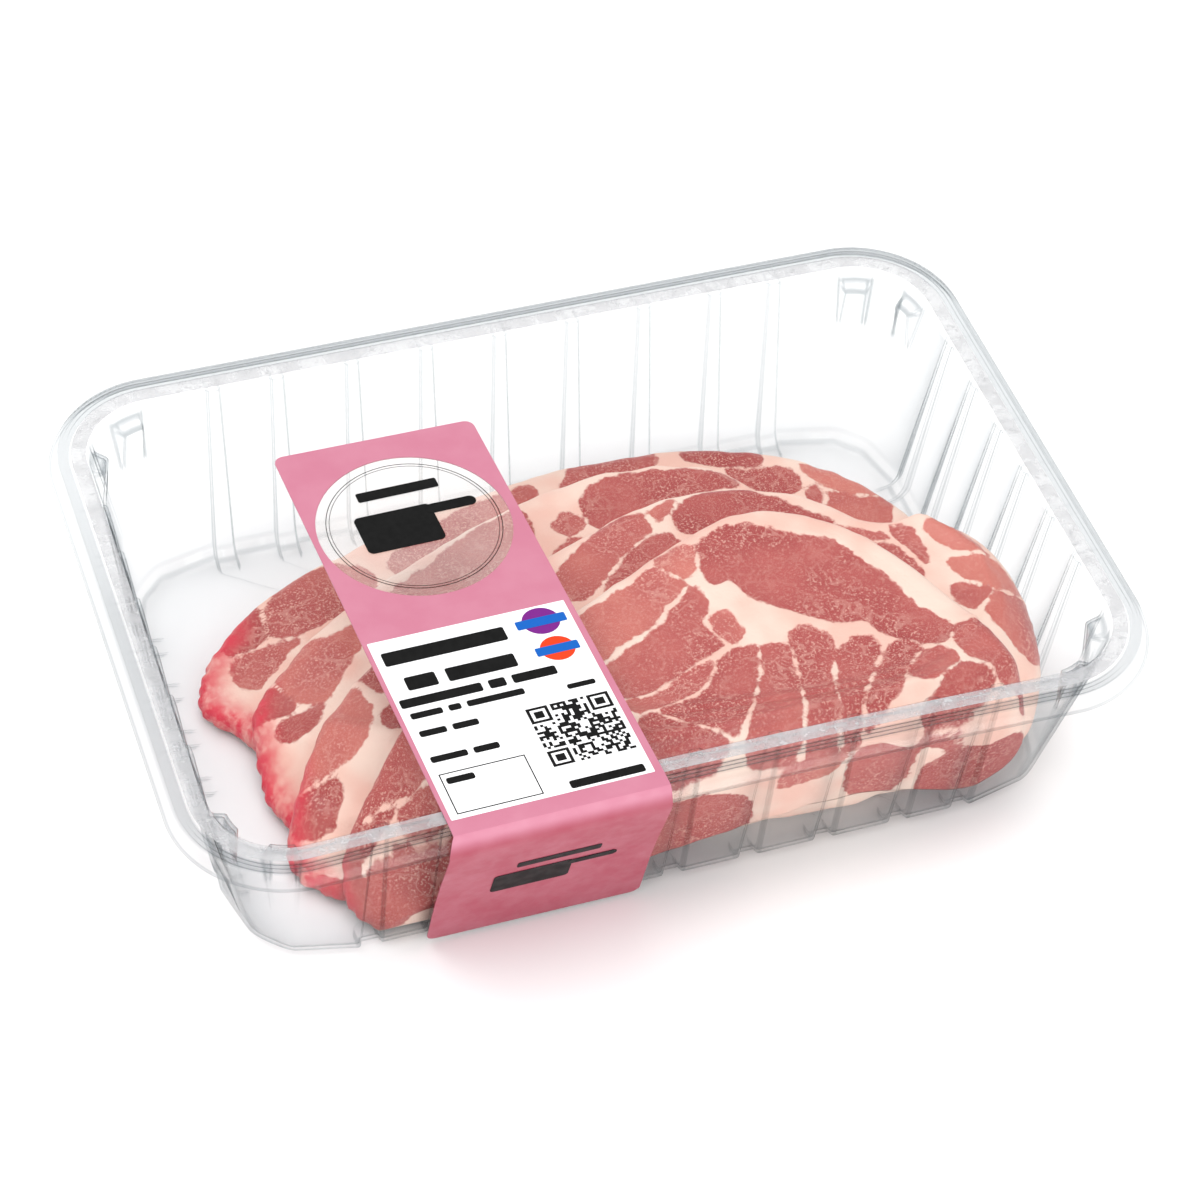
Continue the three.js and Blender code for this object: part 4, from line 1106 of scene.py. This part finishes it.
in_corner = squares.reckon("MULTIPLY", past_frame(place_u, block_u, given["Side"]),
                           past_frame(place_v, block_v, given["Height"]))
left_or_top = squares.reckon("MAXIMUM", squares.reckon("LESS_THAN", place_u, 0),
                             squares.reckon("GREATER_THAN", place_v, 0))
framed = squares.reckon("MULTIPLY", in_corner, left_or_top)
chosen = squares.reckon("GREATER_THAN", squares.reckon("SUBTRACT", drawn, framed), 0.5)
square = squares.add("GeometryNodeMeshCube", {"Size": squares.sized(block_u, block_v, given["Ink"])})
blocks = squares.grow("print_blocks", [(0, 0, 0)],
                      {"Points": places, "Instance": square, "Selection": chosen})
for vertex in blocks.data.vertices:
    u, v, lift = vertex.co / MM
    lift += INK_LIFT + INK_STEP + INK / 2
    vertex.co = Vector(on_top(BLOCKS_MIDDLE[0] + u, BLOCKS_MIDDLE[1] + v, lift)) * MM
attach(blocks, "root")

# Studio: a pale floor, an even white surround, and two large soft lights, one overhead and one
# low in front that reaches under the slices.
FLOOR_HALF, FLOOR_DROP = 3000, 0.05
SURROUND, LAMP_AIM = 0.95, (0, 0, 0.03)
floor_paint = Finish("studio floor").coat({"Base Color": (0.9, 0.9, 0.9, 1), "Roughness": 0.9})
floor = add_mesh("studio_floor", [(sx * FLOOR_HALF, sy * FLOOR_HALF, -FLOOR_DROP) for sx, sy in
                                  ((-1, -1), (1, -1), (1, 1), (-1, 1))], [(0, 1, 2, 3)], floor_paint)

world = bpy.data.worlds.new("white surround")
world.use_nodes = True
world.node_tree.nodes["Background"].inputs["Color"].default_value = (1, 1, 1, 1)
world.node_tree.nodes["Background"].inputs["Strength"].default_value = SURROUND
bpy.context.scene.world = world
for name, place, size, power in (
    ("overhead softbox", (-0.35, 0.1, 1.3), 1.3, 12),
    ("front fill", (0.1, -1.3, 0.45), 0.9, 9),
):
    lamp = bpy.data.lights.new(name, "AREA")
    lamp.shape = "SQUARE"
    lamp.size = size
    lamp.energy = power
    lamp_object = bpy.data.objects.new(name, lamp)
    bpy.context.scene.collection.objects.link(lamp_object)
    lamp_object.location = place
    lamp_object.rotation_mode = "QUATERNION"
    lamp_object.rotation_quaternion = (Vector(LAMP_AIM) - Vector(place)).to_track_quat("-Z", "Y")

# Camera: the photo's view, from 22 degrees left of the front and 47 degrees above the table, with
# a tilt of 5 degrees. The lens follows from how far the tray's long edges converge.
AZIMUTH, ELEVATION, ROLL = -22.51, 46.78, 4.77
DISTANCE, TARGET, LENS = 938.1, (4.16, 1.76, 28.93), 105.42
a, e, r = (math.radians(angle) for angle in (AZIMUTH, ELEVATION, ROLL))
back = Vector((math.sin(a) * math.cos(e), -math.cos(a) * math.cos(e), math.sin(e)))
right = (-back).cross(Vector((0, 0, 1))).normalized()
up = right.cross(-back)
tilted_right = math.cos(r) * right + math.sin(r) * up
tilted_up = -math.sin(r) * right + math.cos(r) * up
camera = bpy.data.objects.new("camera", bpy.data.cameras.new("camera"))
camera.data.lens = LENS
camera.data.sensor_width = 36
camera.matrix_world = Matrix.Translation((Vector(TARGET) + back * DISTANCE) * MM) @ Matrix(
    (tilted_right, tilted_up, back)).transposed().to_4x4()
bpy.context.scene.collection.objects.link(camera)
bpy.context.scene.camera = camera
bpy.context.scene.view_settings.view_transform = "Standard"
bounces = bpy.context.scene.cycles
bounces.max_bounces, bounces.diffuse_bounces, bounces.glossy_bounces = 3, 2, 1
bounces.caustics_reflective = bounces.caustics_refractive = False
bounces.transparent_max_bounces = 22
